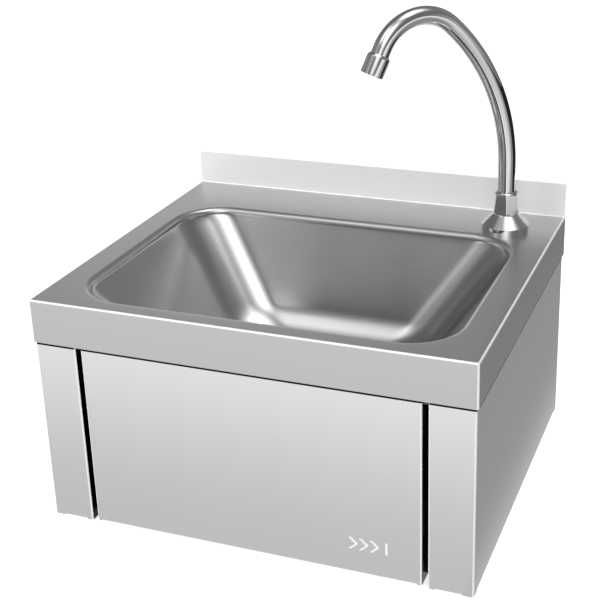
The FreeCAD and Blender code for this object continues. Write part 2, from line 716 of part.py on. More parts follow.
def make_check_valves():
    """Non-return cartridges pressed up into the unions' mouths: a ring with a cross of ribs."""
    cartridges = []
    rib = 0.8
    for side in (-1, 1):
        x = valve_x + side * inlet_spacing / 2
        low = stub_foot_z - inlet_hexagon - inlet_thread_length + 1.5
        ring = turned([(inlet_bore, 0), (check_valve_radius, 0), (check_valve_radius, check_valve_length),
                       (inlet_bore, check_valve_length)], (x, manifold_y, low), (0, 0, 1))
        reach = inlet_bore + 0.5
        across = block((x - reach, manifold_y - rib, low + 0.5), (x + reach, manifold_y + rib, low + 3))
        along = block((x - rib, manifold_y - reach, low + 0.5), (x + rib, manifold_y + reach, low + 3))
        cartridges.append(ring.fuse([across, along]))
    return cartridges


def make_bonnet():
    """Guide nut screwed into the neck; the push button's stem runs through it."""
    bore = stem_radius + running_gap
    flange = hexagon_nut(bonnet_flats, bonnet_hexagon, bore, (valve_x, bonnet_front_y, valve_z), (0, 1, 0))
    near, far = bonnet_hexagon - 0.5, bonnet_hexagon + bonnet_plug
    plug = valve_axis_part([(bore, near), (neck_bore - 0.1, near), (neck_bore - 0.1, far), (bore, far)],
                           bonnet_front_y)
    return flange.fuse(plug).removeSplitter()


def make_push_button():
    """Cap with a coned face, on its stem."""
    end = piston_front_y - button_front_y
    return valve_axis_part([(0, 0), (button_tip_radius, 0), (button_radius, button_rise),
                            (button_radius, button_thickness), (stem_radius, button_thickness),
                            (stem_radius, end), (0, end)], button_front_y)


def make_piston():
    """Cup piston on the stem's end."""
    radius = neck_bore - running_gap
    cup = radius * 0.55
    return valve_axis_part([(0, 0), (radius, 0), (radius, piston_length), (cup, piston_length), (cup, 4.0),
                            (0, 4.0)], piston_front_y)


def make_bonnet_seal():
    """Flat ring between the bonnet's hexagon and the end of the neck."""
    low, high = bonnet_hexagon, bonnet_hexagon + seal_thickness
    return valve_axis_part([(neck_bore, low), (neck_radius, low), (neck_radius, high), (neck_bore, high)],
                           bonnet_front_y)


def make_valve_spring():
    """Compression spring between the piston and the end of the cavity: square wire wound in one helix."""
    radius = neck_bore - 1.0 - spring_wire
    half = spring_wire / 2
    first = piston_front_y + piston_length + half + 0.1
    last = cavity_end_y - half - 0.1
    steps = spring_stations * spring_turns
    wires = []
    for step in range(steps + 1):
        angle = 2 * math.pi * step / spring_stations
        y = first + (last - first) * step / steps
        corners = []
        for outward, onward in ((-half, -half), (half, -half), (half, half), (-half, half)):
            reach = radius + outward
            corners.append(V(valve_x + reach * math.cos(angle), y + onward,
                             valve_z + reach * math.sin(angle)))
        wires.append(Part.makePolygon(corners + [corners[0]]))
    print("valve spring: gap between turns %.2f mm" % ((last - first) / spring_turns - spring_wire))
    return Part.makeLoft(wires, True, True)


nodes["valve_rail"] = make_valve_rail()
nodes["valve_body"] = make_valve_body()
nodes["valve_lock_nut"] = hexagon_nut(lock_nut_flats, lock_nut_thickness, neck_radius + running_gap,
                                      (valve_x, rail_front_y, valve_z), (0, -1, 0))
nodes["valve_bonnet"] = make_bonnet()
nodes["bonnet_seal"] = make_bonnet_seal()
nodes["push_button"] = make_push_button()
nodes["valve_piston"] = make_piston()
nodes["valve_spring"] = make_valve_spring()
nodes["hot_inlet_union"] = make_inlet_union(-1)
nodes["cold_inlet_union"] = make_inlet_union(1)
nodes["check_valves"] = Part.makeCompound(make_check_valves())


# ---------------------------------------------------------------- tap base in the deck
set_screw_bearing = math.radians(spout_bearing + 180)
screw_out = (math.cos(set_screw_bearing), math.sin(set_screw_bearing), 0)


def make_tap_base():
    """Flared chrome base with a tapered hexagon above and a threaded shank below.  A cone turns off the
    hexagon's lower corners and another its upper ones, so that each flat ends in an arch."""
    at = (tap_x, tap_y, deck_z)
    collar = (hexagon_flats_high + tube_radius * 2 + 8) / 4 - 0.2
    lower = turned([(0, 0), (flange_radius, 0), (flange_radius, flange_rim - 0.8),
                    (flange_radius - 0.8, flange_rim), (waist_radius, waist_height),
                    (waist_radius - 1, waist_height + 1), (0, waist_height + 1)], at, (0, 0, 1))
    bearing = spout_bearing - 180 + 30
    centre = (tap_x, tap_y)
    tapered = Part.makeLoft([hexagon_wire(hexagon_flats_low, centre, deck_z + hexagon_bottom, bearing),
                             hexagon_wire(hexagon_flats_high, centre, deck_z + hexagon_top, bearing)],
                            True, True)
    full_corner = hexagon_flats_low / math.sqrt(3)
    envelope = turned([(0, hexagon_bottom), (waist_radius - 0.8, hexagon_bottom),
                       (full_corner + 0.3, hexagon_full), (full_corner - 1.4, hexagon_top - 4),
                       (collar, hexagon_top), (collar, tap_top - 0.7), (collar - 0.7, tap_top), (0, tap_top)],
                      at, (0, 0, 1))
    collar_ring = rod(collar, (tap_x, tap_y, deck_z + hexagon_top - 2), (0, 0, 1), tap_top - hexagon_top + 2)
    upper = tapered.fuse(collar_ring).common(envelope)
    shank = rod(half_inch_thread_radius, (tap_x, tap_y, tap_outlet_z), (0, 0, 1), shank_length + 1)
    base = lower.fuse([upper, shank])
    socket = rod(tube_radius + running_gap, (tap_x, tap_y, deck_z + spout_socket_floor), (0, 0, 1), tap_top)
    bore = rod(shank_bore, (tap_x, tap_y, tap_outlet_z - 1), (0, 0, 1), shank_length + tap_top)
    screw_hole = rod(set_screw_radius, (tap_x, tap_y, deck_z + set_screw_height), screw_out,
                     flange_radius)
    return base.cut([socket, bore, screw_hole]).removeSplitter()


def make_spout_set_screw():
    """Grub screw behind the base whose tip runs in the tail's groove."""
    height = deck_z + set_screw_height
    tip, outer = tube_radius - 1.0, 14.0
    screw = rod(set_screw_radius, (tap_x + tip * screw_out[0], tap_y + tip * screw_out[1], height), screw_out,
                outer - tip)
    reach = outer - 1.5
    socket = (tap_x + reach * screw_out[0], tap_y + reach * screw_out[1], height)
    return screw.cut(rod(set_screw_radius / 2, socket, screw_out, 3))


def make_spout_tail():
    """Brass tail in the tube's lower end: two seal grooves and the groove that the set screw keeps."""
    groove = tube_radius - seal_depth
    foot = spout_socket_floor + 0.4
    outline = [(tail_bore, foot), (tube_radius, foot)]
    screw_groove = (set_screw_height - seal_groove, set_screw_height + seal_groove)
    for low, high in seal_grooves + [screw_groove]:
        outline += [(tube_radius, low), (groove, low), (groove, high), (tube_radius, high)]
    inner = tube_radius - tube_wall
    outline += [(tube_radius, tail_shoulder), (inner, tail_shoulder), (inner, tail_shoulder + tail_spigot),
                (tail_bore, tail_shoulder + tail_spigot)]
    return turned(outline, (tap_x, tap_y, deck_z), (0, 0, 1))


def make_o_rings():
    """Square-cut seal rings in the tail's grooves."""
    rings = []
    inner, outer = tube_radius - seal_depth + 0.05, tube_radius - 0.02
    for low, high in seal_grooves:
        outline = [(inner, low + 0.1), (outer, low + 0.1), (outer, high - 0.1), (inner, high - 0.1)]
        rings.append(turned(outline, (tap_x, tap_y, deck_z), (0, 0, 1)))
    return rings


seal_grooves = [(low, low + seal_groove) for low in (4.2, 8.2)]


def spout_line():
    """Centre line: upright, then a long gentle arc, then the tight crook over the bowl."""
    bearing = math.radians(spout_bearing)
    outward = V(math.cos(bearing), math.sin(bearing), 0)
    base = V(tap_x, tap_y, deck_z)
    rise = math.radians(spout_rise_angle)
    crook = math.radians(spout_crook_angle)

    def on_rise(angle):
        return base + outward * (spout_rise_radius * (1 - math.cos(angle))) + V(
            0, 0, spout_straight_top + spout_rise_radius * math.sin(angle))

    difference = spout_rise_radius - spout_crook_radius
    centre = base + outward * (spout_rise_radius - difference * math.cos(rise)) + V(
        0, 0, spout_straight_top + difference * math.sin(rise))

    def on_crook(angle):
        return centre - outward * (spout_crook_radius * math.cos(angle)) + V(
            0, 0, spout_crook_radius * math.sin(angle))

    start = base + V(0, 0, tail_shoulder)
    edges = [Part.LineSegment(start, on_rise(0)).toShape(),
             Part.Arc(on_rise(0), on_rise(rise / 2), on_rise(rise)).toShape(),
             Part.Arc(on_crook(rise), on_crook(rise + crook / 2), on_crook(rise + crook)).toShape()]
    heading = outward * math.sin(rise + crook) + V(0, 0, math.cos(rise + crook))
    end = on_crook(rise + crook) + heading * spout_tip_straight
    edges.append(Part.LineSegment(on_crook(rise + crook), end).toShape())
    return edges, end, heading


def make_aerator(end, heading):
    """Chamfered housing screwed over the tube's end, a washer behind and a slotted insert in its mouth."""
    at = (end.x, end.y, end.z)
    along = (heading.x, heading.y, heading.z)
    rim = aerator_radius
    mouth = rim - aerator_wall
    last = aerator_length - aerator_neck
    neck = tube_radius + 0.02
    lip = tube_radius - tube_wall
    housing = turned([(neck, -aerator_neck), (neck + 0.5, -aerator_neck), (rim, -0.6), (rim, last),
                      (mouth, last), (mouth, 2.6), (lip, 2.6), (lip, 0.05), (neck, 0.05)], at, along)
    fit = mouth - 0.05
    washer = turned([(tail_bore, 2.65), (fit, 2.65), (fit, 4.4), (tail_bore, 4.4)], at, along)
    insert = turned([(0, 4.45), (fit, 4.45), (fit, last - 0.4), (fit - 1, last - 0.4), (fit - 1, last - 2.4),
                     (0, last - 2.4)], at, along)
    slots = []
    for count in range(3):
        slot = block((-fit + 2, -0.7, 5.5), (fit - 2, 0.7, last))
        slot.rotate(V(0, 0, 0), V(0, 0, 1), 60 * count)
        turn = FreeCAD.Placement(end, FreeCAD.Rotation(V(0, 0, 1), heading))
        slot.Placement = turn.multiply(slot.Placement)
        slots.append(slot)
    return housing, washer, insert.cut(slots)


nodes["tap_base"] = make_tap_base()
under_deck = deck_z - sheet
clamp_bore = half_inch_thread_radius + 0.3
nodes["tap_gasket"] = turned([(clamp_bore, 0), (gasket_radius, 0), (gasket_radius, gasket_thickness),
                              (clamp_bore, gasket_thickness)], (tap_x, tap_y, under_deck), (0, 0, -1))
nodes["tap_washer"] = turned([(clamp_bore, 0), (washer_radius, 0), (washer_radius, washer_thickness),
                              (clamp_bore, washer_thickness)],
                             (tap_x, tap_y, under_deck - gasket_thickness), (0, 0, -1))
back_nut_z = under_deck - gasket_thickness - washer_thickness
nodes["tap_back_nut"] = hexagon_nut(back_nut_flats, back_nut_thickness, half_inch_thread_radius + running_gap,
                                    (tap_x, tap_y, back_nut_z), (0, 0, -1))
nodes["spout_set_screw"] = make_spout_set_screw()
nodes["spout_tail"] = make_spout_tail()
nodes["spout_o_rings"] = Part.makeCompound(make_o_rings())
spout_edges, spout_end, spout_heading = spout_line()
nodes["spout_tube"] = swept_round(spout_edges, tube_radius, tube_radius - tube_wall)
aerator = make_aerator(spout_end, spout_heading)
nodes["aerator_housing"], nodes["aerator_washer"], nodes["aerator_insert"] = aerator


# ---------------------------------------------------------------- hose from the valve to the tap
def hose_fitting(base, direction):
    """Nut, ferrule and the hose's first point at one end; direction points from the fitting into the hose."""
    d = V(*direction)
    nut_start = V(*base) - d * hose_engagement
    at = (nut_start.x, nut_start.y, nut_start.z)
    nut = hexagon_nut(hose_nut_flats, hose_nut_length, half_inch_thread_radius + running_gap, at, direction)
    throat = ferrule_radius - 2.0
    cap_start = hose_engagement + 0.1
    cap = turned([(throat, cap_start), (half_inch_thread_radius + 0.1, cap_start),
                  (half_inch_thread_radius + 0.1, hose_nut_length), (throat, hose_nut_length)], at, direction)
    ferrule_base = nut_start + d * hose_nut_length
    inner = hose_radius + 0.02
    ferrule = turned([(throat - 1, 0), (ferrule_radius, 0), (ferrule_radius, ferrule_length),
                      (inner, ferrule_length), (inner, 2), (throat - 1, 2)],
                     (ferrule_base.x, ferrule_base.y, ferrule_base.z), direction)
    return nut.fuse(cap).removeSplitter(), ferrule, ferrule_base + d * 2.0


valve_nut, valve_ferrule, hose_start = hose_fitting((valve_x, valve_outlet_y, valve_z), (0, 1, 0))
tap_nut, tap_ferrule, hose_end = hose_fitting((tap_x, tap_y, tap_outlet_z), (0, 0, -1))

hose_points = [hose_start, V(valve_x, -165.0, valve_z), V(112.0, -116.0, valve_z - 7.0),
               V(138.0, -73.0, valve_z - 4.0), V(tap_x, tap_y, valve_z + 28.0), hose_end]


def make_hose(points):
    """Straight runs joined by tangent arcs, each as large as its two runs allow."""
    edges = []
    cursor = points[0]
    for before, corner, after in zip(points, points[1:], points[2:]):
        inward = corner - before
        outward = after - corner
        turn = inward.getAngle(outward)
        reach = 0.45 * min(inward.Length, outward.Length)
        print("hose bend radius %.0f mm" % (reach / math.tan(turn / 2)))
        inward.normalize()
        outward.normalize()
        start = corner - inward * reach
        end = corner + outward * reach
        side = (outward - inward).normalize()
        radius = reach / math.tan(turn / 2)
        centre = corner + side * (radius / math.cos(turn / 2))
        edges.append(Part.LineSegment(cursor, start).toShape())
        edges.append(Part.Arc(start, centre - side * radius, end).toShape())
        cursor = end
    edges.append(Part.LineSegment(cursor, points[-1]).toShape())
    length = sum(edge.Length for edge in edges)
    hose = swept_round(edges, hose_radius)
    print("hose length %.0f mm, volume over section times length %.4f"
          % (length, hose.Volume / (math.pi * hose_radius ** 2 * length)))
    return hose


nodes["outlet_hose"] = make_hose(hose_points)
nodes["hose_ferrules"] = Part.makeCompound([valve_ferrule, tap_ferrule])
nodes["hose_nuts"] = Part.makeCompound([valve_nut, tap_nut])


# ---------------------------------------------------------------- waste
def make_waste():
    """Strainer clamped to the body under the bowl by one screw, with a rubber gasket below the floor."""
    under = -bowl_wall
    base = (bowl_x, bowl_y, bowl_floor_z)
    hole = waste_hole_radius
    skirt = hole - 1.5
    screw_hole = waste_screw_radius + 0.2
    below = strainer_crown - strainer_plate
    strainer = turned([(screw_hole, below), (skirt, below), (skirt, -strainer_skirt),
                       (hole - 0.3, -strainer_skirt), (hole - 0.3, 0), (strainer_radius, 0),
                       (strainer_radius - 0.8, 1.2), (hole - 1, strainer_crown),
                       (screw_hole, strainer_crown)], base, (0, 0, 1))
    slots = []
    for count in range(strainer_slots):
        slot = block((strainer_slot_inner, -strainer_slot_width / 2, 0),
                     (strainer_slot_outer, strainer_slot_width / 2, 2 * strainer_crown))
        slot.rotate(V(0, 0, 0), V(0, 0, 1), 360 * count / strainer_slots)
        slot.translate(V(*base))
        slots.append(slot)
    strainer = strainer.cut(slots)
    seat = under - waste_gasket_thickness
    rim = strainer_radius + 1
    gasket = turned([(hole + 0.5, seat), (rim, seat), (rim, under), (hole + 0.5, under)], base, (0, 0, 1))
    tail_inner = waste_thread_radius - waste_thread_wall
    throat = seat - waste_cup_depth
    tail_foot = throat - waste_tail_length
    body = turned([(hole, seat), (rim, seat), (rim, seat - waste_rim_thickness),
                   (waste_thread_radius, throat), (waste_thread_radius, tail_foot), (tail_inner, tail_foot),
                   (tail_inner, throat + 1), (hole, seat - waste_cup_bevel)], base, (0, 0, 1))
    spider_top = seat - waste_spider_top
    spider_half = waste_spider_width / 2
    spider = block((-hole, -spider_half, spider_top - waste_spider_height), (hole, spider_half, spider_top))
    boss = rod(2 * waste_screw_radius, (0, 0, spider_top), (0, 0, -1), waste_boss_height)
    thread = rod(waste_screw_radius + 0.05, (0, 0, spider_top + 1), (0, 0, -1), waste_boss_height + 2)
    middle = spider.fuse(boss).cut(thread)
    middle.translate(V(*base))
    body = body.fuse(middle)
    head = waste_screw_radius + 2.6
    screw_tip = seat - waste_screw_length
    screw = turned([(0, 3.6), (head - 2, 3.6), (head, 2.05), (waste_screw_radius, 2.05),
                    (waste_screw_radius, screw_tip), (0, screw_tip)], base, (0, 0, 1))
    slot = block((-head, -0.6, 2.7), (head, 0.6, 4))
    slot.translate(V(*base))
    return strainer, gasket, body, screw.cut(slot)


nodes["waste_strainer"], nodes["waste_gasket"], nodes["waste_body"], nodes["waste_screw"] = make_waste()


os.makedirs("parts", exist_ok=True)
for name, shape in nodes.items():
    shape.exportStep("parts/%s.step" % name)
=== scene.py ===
import json
import math

import bmesh
import bpy
import numpy as np
from mathutils import Matrix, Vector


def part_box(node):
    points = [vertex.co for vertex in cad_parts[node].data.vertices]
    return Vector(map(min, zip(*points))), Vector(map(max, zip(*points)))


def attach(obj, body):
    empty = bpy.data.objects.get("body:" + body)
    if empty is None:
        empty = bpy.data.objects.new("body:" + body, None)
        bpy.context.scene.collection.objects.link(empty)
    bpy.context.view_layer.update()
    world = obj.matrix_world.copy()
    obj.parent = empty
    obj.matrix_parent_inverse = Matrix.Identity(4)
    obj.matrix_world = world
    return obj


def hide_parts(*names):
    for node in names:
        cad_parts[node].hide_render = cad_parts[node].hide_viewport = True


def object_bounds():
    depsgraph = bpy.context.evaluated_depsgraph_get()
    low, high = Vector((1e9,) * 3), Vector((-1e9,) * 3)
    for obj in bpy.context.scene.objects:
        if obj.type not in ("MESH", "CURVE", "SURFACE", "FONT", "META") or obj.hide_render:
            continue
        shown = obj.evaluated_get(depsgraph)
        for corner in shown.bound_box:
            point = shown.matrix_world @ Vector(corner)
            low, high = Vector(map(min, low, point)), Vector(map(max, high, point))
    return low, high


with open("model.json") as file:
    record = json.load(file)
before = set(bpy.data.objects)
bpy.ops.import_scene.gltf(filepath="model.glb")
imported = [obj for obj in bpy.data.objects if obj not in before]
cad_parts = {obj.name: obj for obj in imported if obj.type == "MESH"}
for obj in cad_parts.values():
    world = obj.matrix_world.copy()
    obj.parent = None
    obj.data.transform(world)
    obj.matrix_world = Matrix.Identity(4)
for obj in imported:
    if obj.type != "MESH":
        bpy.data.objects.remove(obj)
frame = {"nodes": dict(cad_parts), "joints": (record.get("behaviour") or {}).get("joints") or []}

cad_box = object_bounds()
MM = 0.001

# ------------------------------------------------------------------------------------------------------ deck
# The top of the basin: one satin stainless sheet, folded down into an apron at the front and both sides.
# Its bowl opening is rolled over a soft edge, and the whole sheet is brushed along the width.
deck_low, deck_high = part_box("deck")
bowl_low, bowl_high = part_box("bowl")
sheet = 1.2 * MM
bowl_wall = 1.0 * MM
upstand_height = 35 * MM
fold_radius = 2.0 * MM                       # outside of every fold
fold_steps = 8
deck_top = deck_high.z - upstand_height
deck_half_x = (deck_high.x - deck_low.x) / 2
deck_middle_y = (deck_low.y + deck_high.y) / 2
opening_centre = ((bowl_low.x + bowl_high.x) / 2, (bowl_low.y + bowl_high.y) / 2)
opening_half_x = (bowl_high.x - bowl_low.x) / 2 - bowl_wall
opening_half_y = (bowl_high.y - bowl_low.y) / 2 - bowl_wall
opening_corner = 45 * MM
lip_radius = deck_top - bowl_high.z
STRAIGHT, ARC = 24, 14                       # stations along a side and round a corner


def ring_stations(straight, arc):
    """Stations round a rectangle, anticlockwise from its right side: four quarter circles joined by straight
    sides.  Columns: the corner centre as signs, sliding along the sides, then the outward direction."""
    corners = np.array([(1, 1), (-1, 1), (-1, -1), (1, -1)], float)
    columns = []
    for quarter in range(4):
        here, beyond = corners[quarter], corners[(quarter + 1) % 4]
        angle = np.radians(90 * (quarter + np.linspace(0, 1, arc + 1)))
        facing = np.stack([np.cos(angle), np.sin(angle)], 1)
        columns.append(np.concatenate([np.tile(here, (arc + 1, 1)), facing], 1))
        share = np.linspace(0, 1, straight + 1)[1:-1, None]
        along = here * (1 - share) + beyond * share
        columns.append(np.concatenate([along, np.tile(facing[-1], (straight - 1, 1))], 1))
    return np.concatenate(columns)


def rings(stations, centre, half_x, half_y, radius, height, rear_radius=None):
    """Level rounded rectangles, one per row: corner centre plus radius times the outward direction.  The
    radius runs from its front value to its rear value along the sides."""
    rows = len(height)
    sign, facing = stations[:, :2], stations[:, 2:]
    half = np.stack([np.broadcast_to(half_x, rows), np.broadcast_to(half_y, rows)], -1)[:, None, :]
    front = np.broadcast_to(radius, rows)[:, None]
    rear = front if rear_radius is None else np.broadcast_to(rear_radius, rows)[:, None]
    corner = (front + (rear - front) * (1 + sign[:, 1]) / 2)[..., None]
    middle = np.broadcast_to(np.asarray(centre, float), (rows, 2))[:, None, :]
    flat = middle + sign * (half - corner) + facing * corner
    level = np.broadcast_to(np.asarray(height, float)[:, None, None], flat.shape[:2] + (1,))
    return np.concatenate([flat, level], -1)


def grid_faces(rows, columns, first, wrap):
    """Quads between neighbouring rows and columns of a grid; wrap joins the last column to the first."""
    row = np.arange(rows - 1)[:, None] * columns
    column = np.arange(columns if wrap else columns - 1)[None, :]
    beside = (column + 1) % columns
    corners = [row + column, row + beside, row + columns + beside, row + columns + column]
    return np.stack(corners, -1).reshape(-1, 4) + first


def skin(name, grids, caps=(), join=1e-6):
    """Mesh piece from grids of points, (points, wrap) each, joined where their points meet.  A cap closes a
    ring of points with one face."""
    points, faces, first = [], [], 0
    for grid, wrap in grids:
        rows, columns = grid.shape[:2]
        points.append(grid.reshape(-1, 3))
        faces += grid_faces(rows, columns, first, wrap).tolist()
        first += rows * columns
    for ring in caps:
        points.append(ring)
        faces.append(list(range(first, first + len(ring))))
        first += len(ring)
    mesh = bpy.data.meshes.new(name)
    mesh.from_pydata(np.concatenate(points).tolist(), [], faces)
    work = bmesh.new()
    work.from_mesh(mesh)
    bmesh.ops.remove_doubles(work, verts=work.verts, dist=join)
    bmesh.ops.recalc_face_normals(work, faces=work.faces)
    work.to_mesh(mesh)
    work.free()
    piece = bpy.data.objects.new(name, mesh)
    bpy.context.scene.collection.objects.link(piece)
    return piece


def face_towards(piece, point, direction):
    """Turns a skin over if its face nearest the point looks away from the direction."""
    mesh = piece.data
    centres = np.empty(len(mesh.polygons) * 3)
    normals = np.empty(len(mesh.polygons) * 3)
    mesh.polygons.foreach_get("center", centres)
    mesh.polygons.foreach_get("normal", normals)
    nearest = np.argmin(np.linalg.norm(centres.reshape(-1, 3) - np.array(point), axis=1))
    if normals.reshape(-1, 3)[nearest] @ np.array(direction) < 0:
        mesh.flip_normals()


def give_wall(piece, thickness):
    """Thickens an open skin, behind its faces."""
    wall = piece.modifiers.new("wall", "SOLIDIFY")
    wall.thickness, wall.offset, wall.use_even_offset = thickness, -1.0, True


def settle(piece, sharp=30.0):
    """Bakes the modifiers, rounds the shading short of the sharp angle and keeps large flats flat."""
    graph = bpy.context.evaluated_depsgraph_get()
    mesh = bpy.data.meshes.new_from_object(piece.evaluated_get(graph))
    piece.modifiers.clear()
    piece.data = mesh
    mesh.shade_smooth()
    mesh.set_sharp_from_angle(angle=math.radians(sharp))
    piece.modifiers.new("flats stay flat", "WEIGHTED_NORMAL").keep_sharp = True


class Socket:
    """One output of a node.  Arithmetic on it adds Math nodes."""

    def __init__(self, graph, output):
        self.graph, self.output = graph, output

    def math(self, operation, *values):
        return self.graph.node("ShaderNodeMath", {"operation": operation}, dict(enumerate(values)))

    def __add__(self, other):
        return self.math("ADD", self, other)

    def __sub__(self, other):
        return self.math("SUBTRACT", self, other)

    def __rsub__(self, other):
        return self.math("SUBTRACT", other, self)

    def __mul__(self, other):
        return self.math("MULTIPLY", self, other)

    def __gt__(self, other):
        return self.math("GREATER_THAN", self, other)

    def __lt__(self, other):
        return self.math("LESS_THAN", self, other)

    def greater(self, other):
        """The larger of two values, or either of two masks."""
        return self.math("MAXIMUM", self, other)

    __radd__ = __add__
    __rmul__ = __mul__


class Graph:
    """The nodes of one material or world, added by node(): its settings first, then its inputs."""

    def __init__(self, owner):
        owner.use_nodes = True
        self.tree = owner.node_tree
        self.tree.nodes.clear()

    def node(self, kind, settings=None, inputs=None, output=0):
        made = self.tree.nodes.new(kind)
        for name, value in (settings or {}).items():
            setattr(made, name, value)
        for key, value in (inputs or {}).items():
            if isinstance(value, Socket):
                self.tree.links.new(value.output, made.inputs[key])
            else:
                made.inputs[key].default_value = value
        return Socket(self, made.outputs[output]) if len(made.outputs) else None

    def split(self, vector):
        """The three parts of a vector."""
        return [self.node("ShaderNodeSeparateXYZ", {}, {0: vector}, axis) for axis in "XYZ"]

    def vector(self, operation, *values, output="Vector"):
        return self.node("ShaderNodeVectorMath", {"operation": operation}, dict(enumerate(values)), output)

    def noise(self, place, scale, detail=3.0, roughness=0.5):
        return self.node("ShaderNodeTexNoise", {}, {"Vector": place, "Scale": scale, "Detail": detail,
                                                    "Roughness": roughness}, "Fac")

    def blend(self, share, first, second):
        """Colour between two colours."""
        return self.node("ShaderNodeMix", {"data_type": "RGBA"}, {0: share, 6: first, 7: second}, 2)

    def bump(self, height, distance, strength, normal=None):
        inputs = {"Height": height, "Distance": distance, "Strength": strength}
        if normal is not None:
            inputs["Normal"] = normal
        return self.node("ShaderNodeBump", {}, inputs, "Normal")

    def surface(self, **values):
        """Principled surface to the output; keyword names are its sockets with underscores for spaces."""
        inputs = {name.replace("_", " "): value for name, value in values.items()}
        shader = self.node("ShaderNodeBsdfPrincipled", {}, inputs, "BSDF")
        self.node("ShaderNodeOutputMaterial", {}, {"Surface": shader})


def grey(value, tint=(1.0, 1.0, 1.0)):
    return tuple(value * part for part in tint) + (1.0,)


def brushed_stainless(name, tone, roughness, along=(1, 0, 0), along_beside=(0, 0, 1), grain=1.0,
                      tint=(1, 1, 1), metallic=1.0, deck_edge=None, joints=None):
    """Ground sheet: fine streaks along one direction, or along another on faces that look sideways, in
    colour, roughness and height, over slow waves of the sheet and faint cloudy patches from handling.
    Folds are painted pale, a painted highlight.  deck_edge (half width, front, foot) keeps it off the lip
    inside it and paints shade along the apron's foot.  joints (inner, outer, behind, above) are the slots
    beside the panel and the strip tucked under the apron, painted with shade, though not on the flanges at
    the wall."""
    material = bpy.data.materials.new(name)
    graph = Graph(material)
    place = graph.node("ShaderNodeTexCoord", output="Object")
    normal = graph.node("ShaderNodeNewGeometry", output="Normal")
    facing = graph.vector("ABSOLUTE", normal)
    face_x, face_y, face_z = graph.split(facing)
    long_scale, cross_scale = 6.0, 1400.0
    lengthwise = tuple(long_scale if part else cross_scale for part in along)
    crosswise = tuple(long_scale if part else cross_scale for part in along_beside)
    stretches = {0: face_x > 0.7, 4: lengthwise, 5: crosswise}
    stretch = graph.node("ShaderNodeMix", {"data_type": "VECTOR"}, stretches, 1)
    streak = graph.noise(graph.vector("MULTIPLY", place, stretch), 1.0, 4.0, 0.65)
    cloud = graph.noise(place, 9.0, 2.0)
    wave = graph.noise(place, 4.0, 1.0)
    painted_fold_highlight = face_x.greater(face_y).greater(face_z) < 0.97
    x, y, z = graph.split(place)
    aside = x.math("ABSOLUTE", x)
    shadow = grey(0.012)
    color = graph.blend(streak * 0.6 + cloud * 0.4, grey(tone * 0.96, tint), grey(tone * 1.04, tint))
    if deck_edge:
        half_width, front, foot = deck_edge
        painted_fold_highlight = painted_fold_highlight * (1.0 - (aside < half_width) * (y > front))
    # Painted highlight: folds are blended to white, and made less metallic and rougher.
    color = graph.blend(painted_fold_highlight, color, grey(1.0))
    if deck_edge:
        # Painted shade: a dark line along the foot of the apron's sides.
        color = graph.blend((z < foot) * (aside > half_width) * (y > front), color, shadow)
    if joints:
        inner, outer, behind, above = joints
        slots = (aside > inner) * (aside < outer) * (y > behind)
        from_middle = graph.vector("SUBTRACT", place, (0, deck_middle_y, 0))
        outward = graph.vector("DOT_PRODUCT", normal, from_middle, output="Value") > 50 * MM
        clear_of_wall = y < -20 * MM
        # Painted shade: the slots and the strip tucked under the apron are blended dark.
        shade = slots.greater((z > above) * clear_of_wall * outward)
        color = graph.blend(shade, color, shadow)
        painted_fold_highlight = painted_fold_highlight * (1.0 - shade) * (face_z < 0.3)
    bump = graph.bump(streak, 0.02 * MM, 0.16 * grain)
    bump = graph.bump(wave, 0.6 * MM, 0.10, bump)
    gloss = roughness + (streak - 0.5) * 0.06 + (cloud - 0.5) * 0.08 + painted_fold_highlight * 0.2
    graph.surface(Base_Color=color, Metallic=metallic - painted_fold_highlight * 0.8 * metallic, Roughness=gloss, Normal=bump)
    return material


def dress(piece, material, body, slot, *nodes):
    """Gives a new piece its material and body, and hides the nodes that it stands for.  The slot is not used.
    """
    piece.data.materials.clear()
    piece.data.materials.append(material)
    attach(piece, body)
    if nodes:
        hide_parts(*nodes)


stations = ring_stations(STRAIGHT, ARC)
turn = np.linspace(0, math.pi / 2, fold_steps + 1)
lip_growth = lip_radius * (1 - np.cos(turn))
lip_rings = rings(stations, opening_centre, opening_half_x + lip_growth, opening_half_y + lip_growth,
                  opening_corner + lip_growth, bowl_high.z + lip_radius * np.sin(turn))
inset = np.append(fold_radius * (1 - np.sin(turn)), [0, 0])
depth = deck_high.y - deck_low.y
tray_middle = np.stack([np.zeros(len(inset)), (deck_low.y + inset) / 2], 1)
tray_height = np.append(deck_top - fold_radius * (1 - np.cos(turn)), [deck_top - 10 * MM, deck_low.z])
tray_rings = rings(stations, tray_middle, deck_half_x - inset, (depth - inset) / 2, fold_radius - inset,
                   tray_height, 0.0)
rear_left = STRAIGHT + ARC + ARC             # last station of the rear left corner
around_front = np.append(np.arange(rear_left, len(stations)), 0)
share = np.linspace(0, 1, 5)[:, None, None]
flat_rings = lip_rings[-1] * (1 - share) + tray_rings[0] * share
tray = skin("deck_sheet", [(lip_rings, True), (flat_rings, True), (tray_rings[:, around_front], False)])
face_towards(tray, (0, deck_low.y + 10 * MM, deck_top), (0, 0, 1))
give_wall(tray, sheet)
settle(tray)
lip_margin = 4 * MM
apron_shade = 1.1 * MM                       # height of the painted shade line along the apron's foot
# The deck's folds are painted pale as highlights, and a line of shade is painted along its apron's foot.
deck_steel = brushed_stainless("satin_deck_steel", 0.60, 0.33, deck_edge=(
    deck_half_x - lip_margin, deck_low.y + lip_margin, deck_low.z + apron_shade))
dress(tray, deck_steel, "casing", "brushed_stainless", "deck")

